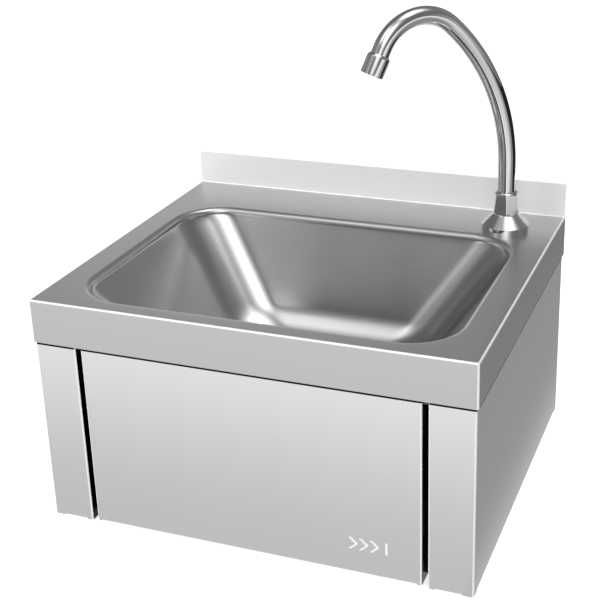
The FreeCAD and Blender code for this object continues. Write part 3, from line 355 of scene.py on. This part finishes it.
# --------------------------------------------------------------------------------------------------- upstand
# The same sheet turned up at the wall, then hemmed back on itself so that its top edge is round and safe.
# The fold at its foot is tight, so it catches a line of light across the whole width, made paler by the
# painted fold highlight.
inner_fold = 0.8 * MM
hem_depth = 10 * MM


def arc_points(centre, radius, start, end, count):
    """Points of a flat arc, from one angle to another in degrees."""
    angle = np.radians(np.linspace(start, end, count))
    return np.stack([centre[0] + radius * np.cos(angle), centre[1] + radius * np.sin(angle)], 1)


def bar(name, outline, start, end, axis=0):
    """Closed flat outline carried in a straight line along an axis, with both ends closed."""
    span = np.array([start, end])[:, None]
    flat = np.broadcast_to(outline, (2,) + outline.shape)
    along = np.broadcast_to(span, flat.shape[:2])
    parts = [flat[..., 0], flat[..., 1]]
    parts.insert(axis, along)
    grid = np.stack(parts, -1)
    return skin(name, [(grid, True)], caps=(grid[0], grid[1]))


fold_y = -2 * sheet - inner_fold
upstand_foot = deck_top - sheet * 0.9        # its foot lies within the deck's own sheet
hem_top = deck_high.z - sheet
upstand_outline = np.concatenate([
    [(fold_y, upstand_foot)],
    arc_points((fold_y, deck_top + inner_fold), inner_fold, -90, 0, 6),
    arc_points((-sheet, hem_top), sheet, 180, 0, 13),
    [(0, hem_top - hem_depth), (-sheet, hem_top - hem_depth), (-sheet, upstand_foot)]])
upstand = bar("upstand", upstand_outline, deck_low.x, deck_high.x)
settle(upstand)
# Painted light: the upstand gets a paler, barely metallic copy of the deck's steel, so that it shows bright.
upstand_painted_light_steel = brushed_stainless("upstand_steel_painted_light", 0.96, 0.50, metallic=0.15)
dress(upstand, upstand_painted_light_steel, "casing", "brushed_stainless")

# ------------------------------------------------------------------------------------------------------ bowl
# Pressed from one disc of sheet, so its sloping walls run into the floor without a line, then welded to
# the deck's lip and polished by hand to a silky gloss with faint round scratches.
side_slope, end_slope = 36.0, 22.0           # degrees from upright
side_blend, end_blend = 60 * MM, 48 * MM
floor_corner = 42 * MM
waste_hole = 26 * MM
lip_ease = 1.6 * MM
floor_z = deck_top - 115 * MM


def wall_inset(depth, slope, blend):
    """How far a wall has come in at a depth: a straight slope, then an arc tangent to the floor.  Just under
    the lip it starts upright and eases into the slope."""
    angle = math.radians(slope)
    total = bowl_high.z - floor_z
    straight = total - blend * (1 - math.sin(angle))
    eased = depth - lip_ease * (1 - np.exp(-depth / lip_ease))
    drop = np.clip(depth - (total - blend), 0, blend)
    curved = straight * math.tan(angle) + blend * math.cos(angle) - np.sqrt(blend ** 2 - drop ** 2)
    return np.where(depth <= straight, eased * math.tan(angle), curved - lip_ease * math.tan(angle))


crowding = 1.6                               # power that draws the wall's rings towards the floor
share = 1 - (1 - np.linspace(0, 1, 64)) ** crowding
lip_share = [0, 0.004, 0.009, 0.016]         # rings just under the lip, where the wall eases in
depths = (bowl_high.z - floor_z) * np.concatenate([lip_share, share[1:]])
depths.sort()
bowl_half_x = opening_half_x - wall_inset(depths, side_slope, side_blend)
bowl_half_y = opening_half_y - wall_inset(depths, end_slope, end_blend)
bowl_corner = opening_corner + (floor_corner - opening_corner) * depths / depths[-1]
wall_rings = rings(stations, opening_centre, bowl_half_x, bowl_half_y, bowl_corner, bowl_high.z - depths)
share = np.linspace(0, 1, 9)
floor_rings = rings(stations, opening_centre, bowl_half_x[-1] + (waste_hole - bowl_half_x[-1]) * share,
                    bowl_half_y[-1] + (waste_hole - bowl_half_y[-1]) * share,
                    bowl_corner[-1] + (waste_hole - bowl_corner[-1]) * share, np.full(9, floor_z))
bowl = skin("pressed_bowl", [(wall_rings, True), (floor_rings, True)])
face_towards(bowl, (bowl_low.x + 20 * MM, opening_centre[1], 0), (1, 0, 0.7))
give_wall(bowl, bowl_wall)
settle(bowl)


def polished_bowl(name):
    """Silky polish: soft gloss that varies in patches, fine curved scratches and a slight unevenness."""
    material = bpy.data.materials.new(name)
    graph = Graph(material)
    place = graph.node("ShaderNodeTexCoord", output="Object")
    patch = graph.noise(place, 14.0, 3.0)
    wave = graph.noise(place, 7.0, 1.0)
    scratch = graph.noise(graph.vector("MULTIPLY", place, (60.0, 60.0, 1600.0)), 1.0, 3.0, 0.7)
    color = graph.blend(scratch * 0.5 + patch * 0.5, grey(0.53), grey(0.60))
    bump = graph.bump(scratch, 0.015 * MM, 0.3)
    bump = graph.bump(wave, 0.8 * MM, 0.3, bump)
    gloss = 0.22 + (patch - 0.5) * 0.12 + (scratch - 0.5) * 0.06
    graph.surface(Base_Color=color, Metallic=1.0, Roughness=gloss, Normal=bump)
    return material


dress(bowl, polished_bowl("silky_bowl_steel"), "casing", "brushed_stainless", "bowl")

# ----------------------------------------------------------------------------------------------- side panels
# Two folded sheets carry the basin: each wraps from the wall round the side to a narrow leg at the front.
# Their faces are brushed level, and a dark line of shadow sits where they tuck up behind the apron.


def joined_copy(node, name, sharp=32.0):
    """The node's own shape with its loose triangles joined, so that its curved faces can be shaded round."""
    mesh = frame["nodes"][node].data.copy()
    mesh.name = name
    work = bmesh.new()
    work.from_mesh(mesh)
    bmesh.ops.remove_doubles(work, verts=work.verts, dist=1e-6)
    work.to_mesh(mesh)
    work.free()
    if "custom_normal" in mesh.attributes:
        mesh.attributes.remove(mesh.attributes["custom_normal"])
    piece = bpy.data.objects.new(name, mesh)
    bpy.context.scene.collection.objects.link(piece)
    settle(piece, sharp)
    return piece


def dress_copy(node, name, material, body, slot, sharp=32.0):
    """Puts a joined copy in the node's place."""
    piece = joined_copy(node, name, sharp)
    dress(piece, material, body, slot, node)
    return piece


panel_low, panel_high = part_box("knee_panel")
slot_width = 5 * MM
panel_lip = 10 * MM                          # folded out behind the legs
slot_start = panel_high.x - panel_lip
slot_spill = 0.4 * MM                        # the shade reaches this far past the slot's edges
slot_depth, tuck_depth = 1.2 * MM, 2.6 * MM  # where it starts behind the panel's face and below the apron
# The panels' steel has shade painted into the slots beside the knee panel and along the strip under the
# apron.
panel_steel = brushed_stainless("satin_panel_steel", 0.83, 0.25, along=(1, 0, 0), along_beside=(0, 1, 0),
                                joints=(slot_start - slot_spill, slot_start + slot_width + slot_spill,
                                        panel_low.y + slot_depth, deck_low.z - tuck_depth))
dress_copy("left_side_panel", "left_side_sheet", panel_steel, "casing", "brushed_stainless")
dress_copy("right_side_panel", "right_side_sheet", panel_steel, "casing", "brushed_stainless")

# ------------------------------------------------------------------------------------------------ knee panel
# The wide panel between the legs is a shallow folded pan that swings on pins at its top corners.  A raised
# sign of three chevrons and a bar at its lower right shows where the knee pushes.
dress_copy("knee_panel", "knee_panel_sheet", panel_steel, "panel", "brushed_stainless")
sign_left, sign_foot, sign_height = 90 * MM, -140 * MM, 11 * MM
sign_rise = 0.6 * MM
stroke = 1.9 * MM
# Painted highlight: the sign gets a near-white, barely metallic copy of the steel, standing in for the light
# on its raised faces.
sign_painted_highlight_steel = brushed_stainless("sign_steel_painted_highlight", 1.0, 0.5, metallic=0.1)
chevron_pitch, chevron_reach = 9.5 * MM, 6.0 * MM


def raised_mark(name, outline):
    """A mark that stands proud of the panel's face, from its outline in x and z."""
    mark = bar(name, outline, panel_low.y + 0.4 * MM, panel_low.y - sign_rise, axis=1)
    settle(mark, 40)
    dress(mark, sign_painted_highlight_steel, "panel", "brushed_stainless")


middle, head = sign_foot + sign_height / 2, sign_foot + sign_height
for count in range(3):
    left = sign_left + count * chevron_pitch
    point = left + chevron_reach
    chevron = [(left, sign_foot), (left + stroke, sign_foot), (point + stroke, middle), (left + stroke, head),
               (left, head), (point, middle)]
    raised_mark("sign_chevron_%d" % (count + 1), np.array(chevron))
left = sign_left + 3 * chevron_pitch + 4 * MM
upright = [(left, sign_foot), (left + stroke, sign_foot), (left + stroke, head), (left, head)]
raised_mark("sign_bar", np.array(upright))

# ----------------------------------------------------------------------------------------------------- hinge
# Riveted stainless pins run in white acetal bushes at the panel's top corners, held by spring clips, and
# black rubber stops let the panel come back to rest without a clank.


def plain_metal(name, tone, roughness, tint=(1, 1, 1), spread=0.1, turned=0.0):
    """Machined or plated metal: patches of handling in its gloss, and a fine grain that is stronger where it
    was turned.
    """
    material = bpy.data.materials.new(name)
    graph = Graph(material)
    place = graph.node("ShaderNodeTexCoord", output="Object")
    patch = graph.noise(place, 45.0, 3.0)
    fine = graph.noise(place, 900.0, 2.0)
    color = graph.blend(patch, grey(tone * 0.92, tint), grey(tone * 1.06, tint))
    normal = graph.bump(fine, 0.02 * MM, 0.15 + turned)
    graph.surface(Base_Color=color, Metallic=1.0, Roughness=roughness + (patch - 0.5) * spread, Normal=normal)
    return material


def moulded(name, color, roughness, grain=0.3):
    """Rubber or plastic: fine moulded grain, a little uneven in colour and sheen."""
    material = bpy.data.materials.new(name)
    graph = Graph(material)
    place = graph.node("ShaderNodeTexCoord", output="Object")
    patch = graph.noise(place, 60.0, 2.0)
    fine = graph.noise(place, 2500.0, 2.0)
    dark = tuple(part * 0.86 for part in color) + (1.0,)
    light = tuple(min(part * 1.08, 1.0) for part in color) + (1.0,)
    graph.surface(Base_Color=graph.blend(patch, dark, light), Roughness=roughness + (patch - 0.5) * 0.12,
                  Normal=graph.bump(fine, 0.03 * MM, grain))
    return material


bright_steel = plain_metal("bright_small_steel", 0.62, 0.22)
black_rubber = moulded("black_rubber", (0.022, 0.022, 0.023), 0.62, 0.5)
white_acetal = moulded("white_acetal", (0.74, 0.74, 0.71), 0.34)
dress_copy("panel_hinge_pins", "riveted_hinge_pins", bright_steel, "casing", "polished_steel")
dress_copy("panel_hinge_clips", "hinge_spring_clips", bright_steel, "casing", "polished_steel")
dress_copy("panel_hinge_bushes", "flanged_bushes", white_acetal, "panel", "white_acetal")
dress_copy("panel_buffers", "rubber_stops", black_rubber, "panel", "black_rubber")

# --------------------------------------------------------------------------------------------- rib and rails
# The hidden sheet parts are left as the mill rolled them: the rib that stiffens the panel, the channel
# that carries the valve, the angle under the deck and the slotted strip on the wall.
mill_steel = brushed_stainless("mill_finish_steel", 0.55, 0.38, grain=1.6, tint=(1.0, 0.99, 0.97))
dress_copy("panel_stiffener", "panel_rib", mill_steel, "panel", "mill_stainless")
dress_copy("striker_pad", "white_striker_pad", white_acetal, "panel", "white_acetal")
dress_copy("valve_rail", "valve_channel", mill_steel, "casing", "mill_stainless")
dress_copy("rear_rail", "hanging_angle", mill_steel, "casing", "mill_stainless")
dress_copy("wall_bracket", "slotted_wall_strip", mill_steel, "casing", "mill_stainless")

# ----------------------------------------------------------------------------------------------------- valve
# A brass casting with its lock nut, nickelled bonnet and push button, the spring and piston inside, and
# two nickelled unions below for the hot and cold supplies, each with a white non-return cartridge.
cast_brass = plain_metal("cast_brass", 0.62, 0.30, tint=(1.0, 0.80, 0.45), spread=0.2, turned=0.1)
nickel = plain_metal("nickel_plate", 0.60, 0.14, tint=(1.0, 0.97, 0.90))
dress_copy("valve_body", "cast_valve_body", cast_brass, "casing", "brass")
dress_copy("valve_lock_nut", "brass_lock_nut", cast_brass, "casing", "brass", 20.0)
dress_copy("valve_bonnet", "nickelled_bonnet", nickel, "casing", "nickel_brass", 20.0)
dress_copy("bonnet_seal", "bonnet_ring_seal", black_rubber, "casing", "black_rubber")
dress_copy("push_button", "crowned_push_button", nickel, "button", "nickel_brass")
dress_copy("valve_piston", "brass_piston", cast_brass, "button", "brass")
spring = frame["nodes"]["valve_spring"]         # shortens with the button, so the node itself is dressed
for material_slot in spring.material_slots:
    material_slot.material = bright_steel
dress_copy("hot_inlet_union", "hot_union", nickel, "casing", "nickel_brass", 20.0)
dress_copy("cold_inlet_union", "cold_union", nickel, "casing", "nickel_brass", 20.0)
dress_copy("check_valves", "check_cartridges", white_acetal, "casing", "white_acetal")

# -------------------------------------------------------------------------------------------------- tap base
# A chromed brass base stands on the deck: a thick rim, a wide cone up to a waist, then a tapered hexagon
# whose lower corners are turned off, so that each flat ends in an arch.
joints = {joint["name"]: joint for joint in frame["joints"]}
tap_x, tap_y = joints["spout_swivel"]["pos_m"][:2]
base_low, base_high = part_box("tap_base")
rim_radius = (base_high.x - base_low.x) / 2
rim_height = 4.6 * MM
rim_round, rim_softness = 0.6 * MM, 0.35 * MM
waist_radius, waist_height = 12.0 * MM, 16.0 * MM
cone_step = 0.9 * MM                         # the cone starts this far in from the rim's edge and above it
cone_foot_radius, cone_foot_height = rim_radius - cone_step, rim_height + cone_step
flat_low, flat_high = 12.0 * MM, 9.5 * MM    # axis to a flat, at the hexagon's two ends
hexagon_low, hexagon_high = 15.0 * MM, 36.5 * MM
foot_trim_radius, foot_trim_slope = waist_radius - 0.4 * MM, 0.55
top_trim_radius, top_trim_height, top_trim_slope = 12.6 * MM, 31.0 * MM, 0.30
collar_radius, collar_foot = 10.9 * MM, hexagon_high - 0.8 * MM
collar_round, collar_shoulder = 0.9 * MM, 37.0 * MM
collar_softness = 0.05 * MM
tube_radius, tube_wall = 8.47 * MM, 1.2 * MM
spout_bearing = math.radians(225.5)
hexagon_turn = spout_bearing - math.radians(180)
edge_softness = 0.25 * MM


def soft_least(first, second, softness):
    """The smaller of two lengths, rounded over where they cross: half their sum less half a smoothed gap."""
    return (first + second - np.sqrt((first - second) ** 2 + softness ** 2)) / 2


def tap_base_radius(angle, height):
    """Reach from the axis: the larger of the flared cone and the hexagon, which a cone trims at its foot
    and a steep cone at its top."""
    rise = np.clip((height - cone_foot_height) / (waist_height - cone_foot_height), 0, None)
    flare = cone_foot_radius + (waist_radius - cone_foot_radius) * rise
    rim = rim_radius - rim_round * np.clip(1 - height / rim_round, 0, 1) ** 2
    flare = soft_least(flare, rim, rim_softness)
    along = np.clip((height - hexagon_low) / (hexagon_high - hexagon_low), 0, 1)
    flat = flat_low + (flat_high - flat_low) * along
    sector = np.mod(angle - hexagon_turn, math.pi / 3) - math.pi / 6
    hexagon = flat / np.cos(sector)
    trimmed_foot = foot_trim_radius + (height - hexagon_low) * foot_trim_slope
    trimmed_top = top_trim_radius - (height - top_trim_height) * top_trim_slope
    hexagon = soft_least(hexagon, soft_least(trimmed_foot, trimmed_top, edge_softness), edge_softness)
    collar = collar_radius - collar_round * np.clip((height - collar_shoulder) / MM, 0, 1) ** 2
    reach = -soft_least(-flare, -hexagon, edge_softness)
    above = height > collar_foot
    return np.where(above, soft_least(np.maximum(reach, collar), collar, collar_softness), reach)


def around(centre, radius, height, count):
    """Rings about an upright axis, radius given per ring or per ring and station."""
    angle = np.linspace(0, 2 * math.pi, count, endpoint=False)
    radius = np.broadcast_to(np.asarray(radius, float).reshape(len(height), -1), (len(height), count))
    level = np.broadcast_to(np.asarray(height, float)[:, None], radius.shape)
    return np.stack([centre[0] + radius * np.cos(angle), centre[1] + radius * np.sin(angle), level], -1)


# Rings of the base above the deck, closest round the rim, the hexagon's arches and the collar.
heights = np.concatenate([np.linspace(0, 5, 16), np.linspace(5.5, 13.5, 14), np.linspace(13.8, 26, 56),
                          np.linspace(26.5, 35, 16), np.linspace(35.2, 38, 16)]) * MM
base_count = 264                             # stations round the base, a multiple of six
water_way = 6 * MM
tap_axis = (tap_x, tap_y)
angle = np.linspace(0, 2 * math.pi, base_count, endpoint=False)
base_reach = tap_base_radius(angle[None, :], heights[:, None])
base_skin = around(tap_axis, base_reach, deck_top + heights, base_count)
socket_radius = tube_radius + 0.05 * MM
socket_foot = deck_top + 2 * MM
mouth = around(tap_axis, [socket_radius, socket_radius], [base_high.z - 0.1 * MM, socket_foot], base_count)
socket_floor = around(tap_axis, [water_way, water_way], [socket_foot, base_low.z], base_count)
shank_radius = 10.48 * MM
shank_chamfer = 0.8 * MM
shank_heights = [base_low.z, base_low.z + shank_chamfer, deck_top - sheet, deck_top]
shank_radii = [shank_radius - shank_chamfer, shank_radius, shank_radius, shank_radius]
shank = around(tap_axis, shank_radii, shank_heights, base_count)
base_grid = np.concatenate([shank, base_skin, mouth, socket_floor, shank[:1]])
tap_base = skin("flared_tap_base", [(base_grid, True)])
settle(tap_base, 38)


def chrome(name, tone=0.74):
    """Bright plate over polished brass: almost a mirror, with faint smears and a few hairline wipes."""
    material = bpy.data.materials.new(name)
    graph = Graph(material)
    place = graph.node("ShaderNodeTexCoord", output="Object")
    smear = graph.noise(place, 35.0, 3.0, 0.6)
    wipe = graph.noise(graph.vector("MULTIPLY", place, (300.0, 300.0, 2600.0)), 1.0, 2.0)
    color = graph.blend(smear, grey(tone * 0.97), grey(tone * 1.03, (0.99, 1.0, 1.01)))
    graph.surface(Base_Color=color, Metallic=1.0, Roughness=0.02 + smear * 0.03 + (wipe > 0.72) * 0.05,
                  Normal=graph.bump(graph.noise(place, 60.0, 1.0), 0.05 * MM, 0.12))
    return material


bright_chrome = chrome("bright_chrome")
dress(tap_base, bright_chrome, "casing", "chrome", "tap_base")
dress_copy("tap_gasket", "deck_gasket", black_rubber, "casing", "black_rubber")
dress_copy("tap_washer", "deck_washer", bright_steel, "casing", "polished_steel")
dress_copy("tap_back_nut", "brass_back_nut", cast_brass, "casing", "brass", 20.0)
dress_copy("spout_set_screw", "grub_screw", bright_steel, "casing", "polished_steel")

# ----------------------------------------------------------------------------------------------------- spout
# One chromed tube bent on a mandrel: upright out of the base, a long easy arc, then a tight crook that
# brings its tip down over the bowl.  A brass tail with two seals lets it swivel.
straight_top = 64.7 * MM                     # above the deck
tail_shoulder = 17 * MM
rise_radius, rise_angle = 190 * MM, math.radians(47.8)
crook_radius, crook_angle = 44 * MM, math.radians(106)
tip_straight = 9.5 * MM


def spout_path(stations_per_bend=72):
    """Centre line and heading angle from upright: straight, arc, tighter arc, straight."""
    rise = np.linspace(0, rise_angle, stations_per_bend)
    crook = np.linspace(rise_angle, rise_angle + crook_angle, stations_per_bend)[1:]
    out = np.concatenate([[0, 0, 0], rise_radius * (1 - np.cos(rise))[1:]])
    up = np.concatenate([[tail_shoulder, tail_shoulder + 20 * MM, straight_top],
                         straight_top + rise_radius * np.sin(rise)[1:]])
    shift = rise_radius - crook_radius
    centre = (rise_radius - shift * math.cos(rise_angle), straight_top + shift * math.sin(rise_angle))
    out = np.concatenate([out, centre[0] - crook_radius * np.cos(crook)])
    up = np.concatenate([up, centre[1] + crook_radius * np.sin(crook)])
    heading = np.concatenate([[0, 0, 0], rise[1:], crook])
    last = heading[-1]
    out = np.append(out, out[-1] + tip_straight * math.sin(last))
    up = np.append(up, up[-1] + tip_straight * math.cos(last))
    return out, up, np.append(heading, last)


def tube_skin(radius, count=64):
    """A circle carried square to the spout's centre line: across it lies the bend's own axis."""
    out, up, heading = spout_path()
    angle = np.linspace(0, 2 * math.pi, count, endpoint=False)[None, :]
    sideways, inward = radius * np.sin(angle), radius * np.cos(angle)
    flat_out = out[:, None] + inward * np.cos(heading)[:, None]
    level = deck_top + up[:, None] - inward * np.sin(heading)[:, None]
    x = tap_x + flat_out * math.cos(spout_bearing) - sideways * math.sin(spout_bearing)
    y = tap_y + flat_out * math.sin(spout_bearing) + sideways * math.cos(spout_bearing)
    return np.stack([x, y, level], -1)


outer, bore = tube_skin(tube_radius), tube_skin(tube_radius - tube_wall)
spout = skin("bent_spout_tube", [(np.concatenate([outer, bore[::-1], outer[:1]]), True)])
settle(spout)
dress(spout, bright_chrome, "spout", "chrome", "spout_tube")
dress_copy("spout_tail", "brass_spout_tail", cast_brass, "spout", "brass")
dress_copy("spout_o_rings", "spout_seals", black_rubber, "spout", "black_rubber")

# --------------------------------------------------------------------------------------------------- aerator
# A short chromed housing screwed over the tip, with a chamfered shoulder, and inside it a washer and a
# white insert with six holes that breaks up the stream.
out, up, heading = spout_path()
outward = np.array([math.cos(spout_bearing), math.sin(spout_bearing), 0])
upward = np.array([0, 0, 1])
tip = np.array([tap_x, tap_y, deck_top]) + out[-1] * outward + up[-1] * upward
tip_along = math.sin(heading[-1]) * outward + math.cos(heading[-1]) * upward
tip_across = np.cross(upward, outward)
tip_beside = np.cross(tip_along, tip_across)


def turned_about(axis_point, along, across, beside, outline, count=96):
    """Outline of (radius, distance) carried round an axis, as one closed grid."""
    outline = np.asarray(outline, float)
    angle = np.linspace(0, 2 * math.pi, count, endpoint=False)
    radial = np.cos(angle)[:, None] * across + np.sin(angle)[:, None] * beside
    return axis_point + outline[:, 0, None, None] * radial + (outline[:, 1, None, None] * along)


# Radius and distance past the tube's tip: the sleeve round the tube with its chamfered shoulder, the cup
# down to its rounded mouth, then back up the bore to the washer's seat.
housing_outline = np.array([(8.53, -3.0), (8.8, -3.0), (9.1, -2.8), (10.3, -1.0), (10.6, -0.3), (10.6, 15.6),
                            (10.45, 16.2), (10.1, 16.5), (9.0, 16.5), (9.0, 2.6), (7.3, 2.6), (7.3, 0.05),
                            (8.53, 0.05), (8.53, -3.0)]) * MM
housing = skin("aerator_cup", [(turned_about(tip, tip_along, tip_across, tip_beside, housing_outline), True)])
settle(housing, 28)
dress(housing, bright_chrome, "spout", "chrome", "aerator_housing")
dress_copy("aerator_washer", "aerator_seal", black_rubber, "spout", "black_rubber")
dress_copy("aerator_insert", "aerator_core", white_acetal, "spout", "white_acetal")

# ------------------------------------------------------------------------------------------------------ hose
# From the valve a short braided hose climbs to the tap's tail, swaged into a ferrule and a nickelled nut
# at each end.
braid_steel = plain_metal("braid_steel", 0.60, 0.30)
dress_copy("outlet_hose", "braided_hose", braid_steel, "casing", "polished_steel")
dress_copy("hose_ferrules", "swaged_ferrules", bright_steel, "casing", "polished_steel")
dress_copy("hose_nuts", "hose_end_nuts", nickel, "casing", "nickel_brass", 20.0)

# ----------------------------------------------------------------------------------------------------- waste
# In the bowl's floor a pressed strainer is drawn down by one screw onto a white moulded body and its
# black gasket below.
white_plastic = moulded("white_plastic", (0.72, 0.72, 0.70), 0.42)
dress_copy("waste_strainer", "bright_strainer", bright_steel, "casing", "polished_steel")
dress_copy("waste_screw", "waste_centre_screw", bright_steel, "casing", "polished_steel")
dress_copy("waste_gasket", "waste_ring_gasket", black_rubber, "casing", "black_rubber")
dress_copy("waste_body", "moulded_waste_body", white_plastic, "casing", "white_plastic")

# ---------------------------------------------------------------------------------------------------- studio
# A pale floor, a grey room with soft bright patches that the polish mirrors, and two soft lamps.
floor_half = 9.0
floor_level = cad_box[0].z - 0.3 * MM        # clear of the folded feet, so that no faces share a plane
floor_grid = np.full((2, 2, 3), floor_level)
floor_grid[..., 0] = [[-floor_half, floor_half]] * 2
floor_grid[..., 1] = [[-floor_half] * 2, [floor_half] * 2]
floor = skin("floor", [(floor_grid, False)])
face_towards(floor, (0, 0, floor_level), (0, 0, 1))
material = bpy.data.materials.new("pale_floor")
graph = Graph(material)
seen = graph.node("ShaderNodeLightPath", output="Is Camera Ray")
mirrored = graph.node("ShaderNodeLightPath", output="Is Glossy Ray")
through = graph.node("ShaderNodeLightPath", output="Is Transmission Ray")
place = graph.node("ShaderNodeTexCoord", output="Object")
across, deep, _ = graph.split(place)


def ease(value, start, end, first=0.0, last=1.0):
    """Smooth change of a value from first to last between two places."""
    limits = {"Value": value, "From Min": start, "From Max": end, "To Min": first, "To Max": last}
    return graph.node("ShaderNodeMapRange", {"interpolation_type": "SMOOTHSTEP"}, limits, "Result")


# What the polish shows of the floor is painted: pale in front, with painted shade close by and a painted grey
# patch on the right.
ahead = ease(deep, deck_low.y, deck_low.y - 0.42, 0.63, 1.0)
beside = ease(across, deck_half_x - 0.02, deck_half_x + 0.03) * ease(deep, deck_low.y - 0.10, deck_low.y)
shade = ahead + beside * (0.33 - ahead)
behind = ease(across, 0.50, 0.60) * ease(deep, 0.0, 0.08)
shade = shade - shade * behind * 0.94                    # painted dark at the far right, standing in for the room's dark corner
pale = graph.node("ShaderNodeBsdfDiffuse", {}, {"Color": grey(0.80)}, "BSDF")
lift = graph.node("ShaderNodeEmission", {}, {"Color": (seen + through) * 0.70}, "Emission")
lit = graph.node("ShaderNodeAddShader", {}, {0: pale, 1: lift}, "Shader")
glow = graph.node("ShaderNodeEmission", {}, {"Color": shade}, "Emission")
both = graph.node("ShaderNodeMixShader", {}, {0: mirrored, 1: lit, 2: glow}, "Shader")
graph.node("ShaderNodeOutputMaterial", {}, {"Surface": both})
floor.data.materials.append(material)

world = bpy.data.worlds.new("white_room")
bpy.context.scene.world = world
graph = Graph(world)
toward = graph.node("ShaderNodeTexCoord", output="Generated")


def patch(direction, tightness):
    """Round soft patch of the room: falls off from one towards the direction as a power of e."""
    unit = tuple(np.array(direction, float) / np.linalg.norm(direction))
    facing = graph.vector("DOT_PRODUCT", toward, unit, output="Value")
    return graph.node("ShaderNodeMath", {"operation": "EXPONENT"}, {0: (facing - 1.0) * tightness})


# Directions are worked out by mirroring the camera in the sink's faces.
room = 0.17 + patch((-0.45, 0.87, 0.15), 28.0) * 0.89      # wall behind, in the deck
room = room + patch((-1.0, 0.1, 0.05), 30.0) * 0.35        # side walls, in the deck from the sides
room = room + patch((1.0, 0.1, 0.05), 30.0) * 0.35
room = room + patch((0.45, 0.78, 0.42), 12.0) * 0.12       # wall's dim right end, in the bowl's left wall
room = room + patch((-0.54, -0.81, 0.23), 80.0) * 1.4      # wall at the front left, in the bowl's rear wall
room = room - patch((-0.15, -0.93, 0.33), 60.0) * 0.16     # dark doorway in front, at the same wall's right
room = room + patch((0.15, -0.76, 0.63), 28.0) * 2.6       # softbox in front, in the left rear corner
room = room + patch((0.24, -0.06, 0.97), 26.0) * 3.6       # softbox overhead, at that corner's foot
room = room + patch((-0.42, -0.69, 0.59), 140.0) * 1.3     # lamp at the front left, on the bowl's floor
room = room + patch((0.50, -0.30, 0.81), 200.0) * 1.0      # lamp overhead at the right, beside it
room = room + patch((-0.40, -0.50, 0.77), 40.0) * 1.6      # softbox at the front left, in the rear blend
room = room + patch((-0.72, -0.47, 0.50), 60.0) * 0.25     # faint window at the left, in the right corner
room = room + patch((0.30, -0.88, 0.37), 30.0) * 1.3       # pale card round the lens, in the chrome
seen = graph.node("ShaderNodeLightPath", output="Is Camera Ray")
back = graph.node("ShaderNodeBackground", {}, {"Color": seen + (1.0 - seen) * room}, "Background")
graph.node("ShaderNodeOutputWorld", {}, {"Surface": back})


def soft_lamp(name, place, aim, size, power):
    """Rectangular lamp that faces its aim: tilted from straight down, then turned about the upright axis."""
    data = bpy.data.lights.new(name, "AREA")
    data.shape, data.size, data.size_y, data.energy = "RECTANGLE", size[0], size[1], power
    lamp = bpy.data.objects.new(name, data)
    bpy.context.scene.collection.objects.link(lamp)
    lamp.location = place
    direction = np.array(aim) - np.array(place)
    pitch = math.atan2(math.hypot(direction[0], direction[1]), -direction[2])
    lamp.rotation_euler = (pitch, 0, math.atan2(-direction[0], direction[1]))
    lamp.visible_glossy = False              # polish mirrors the room's own softboxes instead


soft_lamp("key_lamp", (-1.4, -1.6, 2.0), (0, -0.15, 0), (1.2, 1.2), 26.0)
soft_lamp("fill_lamp", (1.8, -1.2, 1.6), (0, -0.15, 0), (1.0, 1.6), 9.0)

bpy.context.scene.view_settings.view_transform = "Standard"

# ---------------------------------------------------------------------------------------------------- camera
# Stands to the right of the front corner and looks down a little, as far off as a catalogue photograph.
camera_place = (0.407, -1.173, 0.482)
camera_azimuth, camera_elevation = math.radians(-20.63), math.radians(-20.92)
camera_roll = math.radians(-1.30)
focal_pixels, frame_pixels, film = 1255.0, 600.0, 36.0
axis_pixel = (345.0, 236.0)                  # where the lens points in the photograph's frame
data = bpy.data.cameras.new("catalogue_camera")
data.lens, data.sensor_width = focal_pixels / frame_pixels * film, film
data.shift_x = 0.5 - axis_pixel[0] / frame_pixels
data.shift_y = axis_pixel[1] / frame_pixels - 0.5
camera = bpy.data.objects.new("catalogue_camera", data)
bpy.context.scene.collection.objects.link(camera)
camera.location = camera_place
forward = np.array([math.cos(camera_elevation) * math.sin(camera_azimuth),
                    math.cos(camera_elevation) * math.cos(camera_azimuth), math.sin(camera_elevation)])
right = np.cross(forward, (0, 0, 1))
right /= np.linalg.norm(right)
above = np.cross(right, forward)
tilted_right = right * math.cos(camera_roll) + above * math.sin(camera_roll)
tilted_above = above * math.cos(camera_roll) - right * math.sin(camera_roll)
camera.rotation_mode = "QUATERNION"
camera_axes = Matrix(np.stack([tilted_right, tilted_above, -forward], 1).tolist())
camera.rotation_quaternion = camera_axes.to_quaternion()
bpy.context.scene.camera = camera
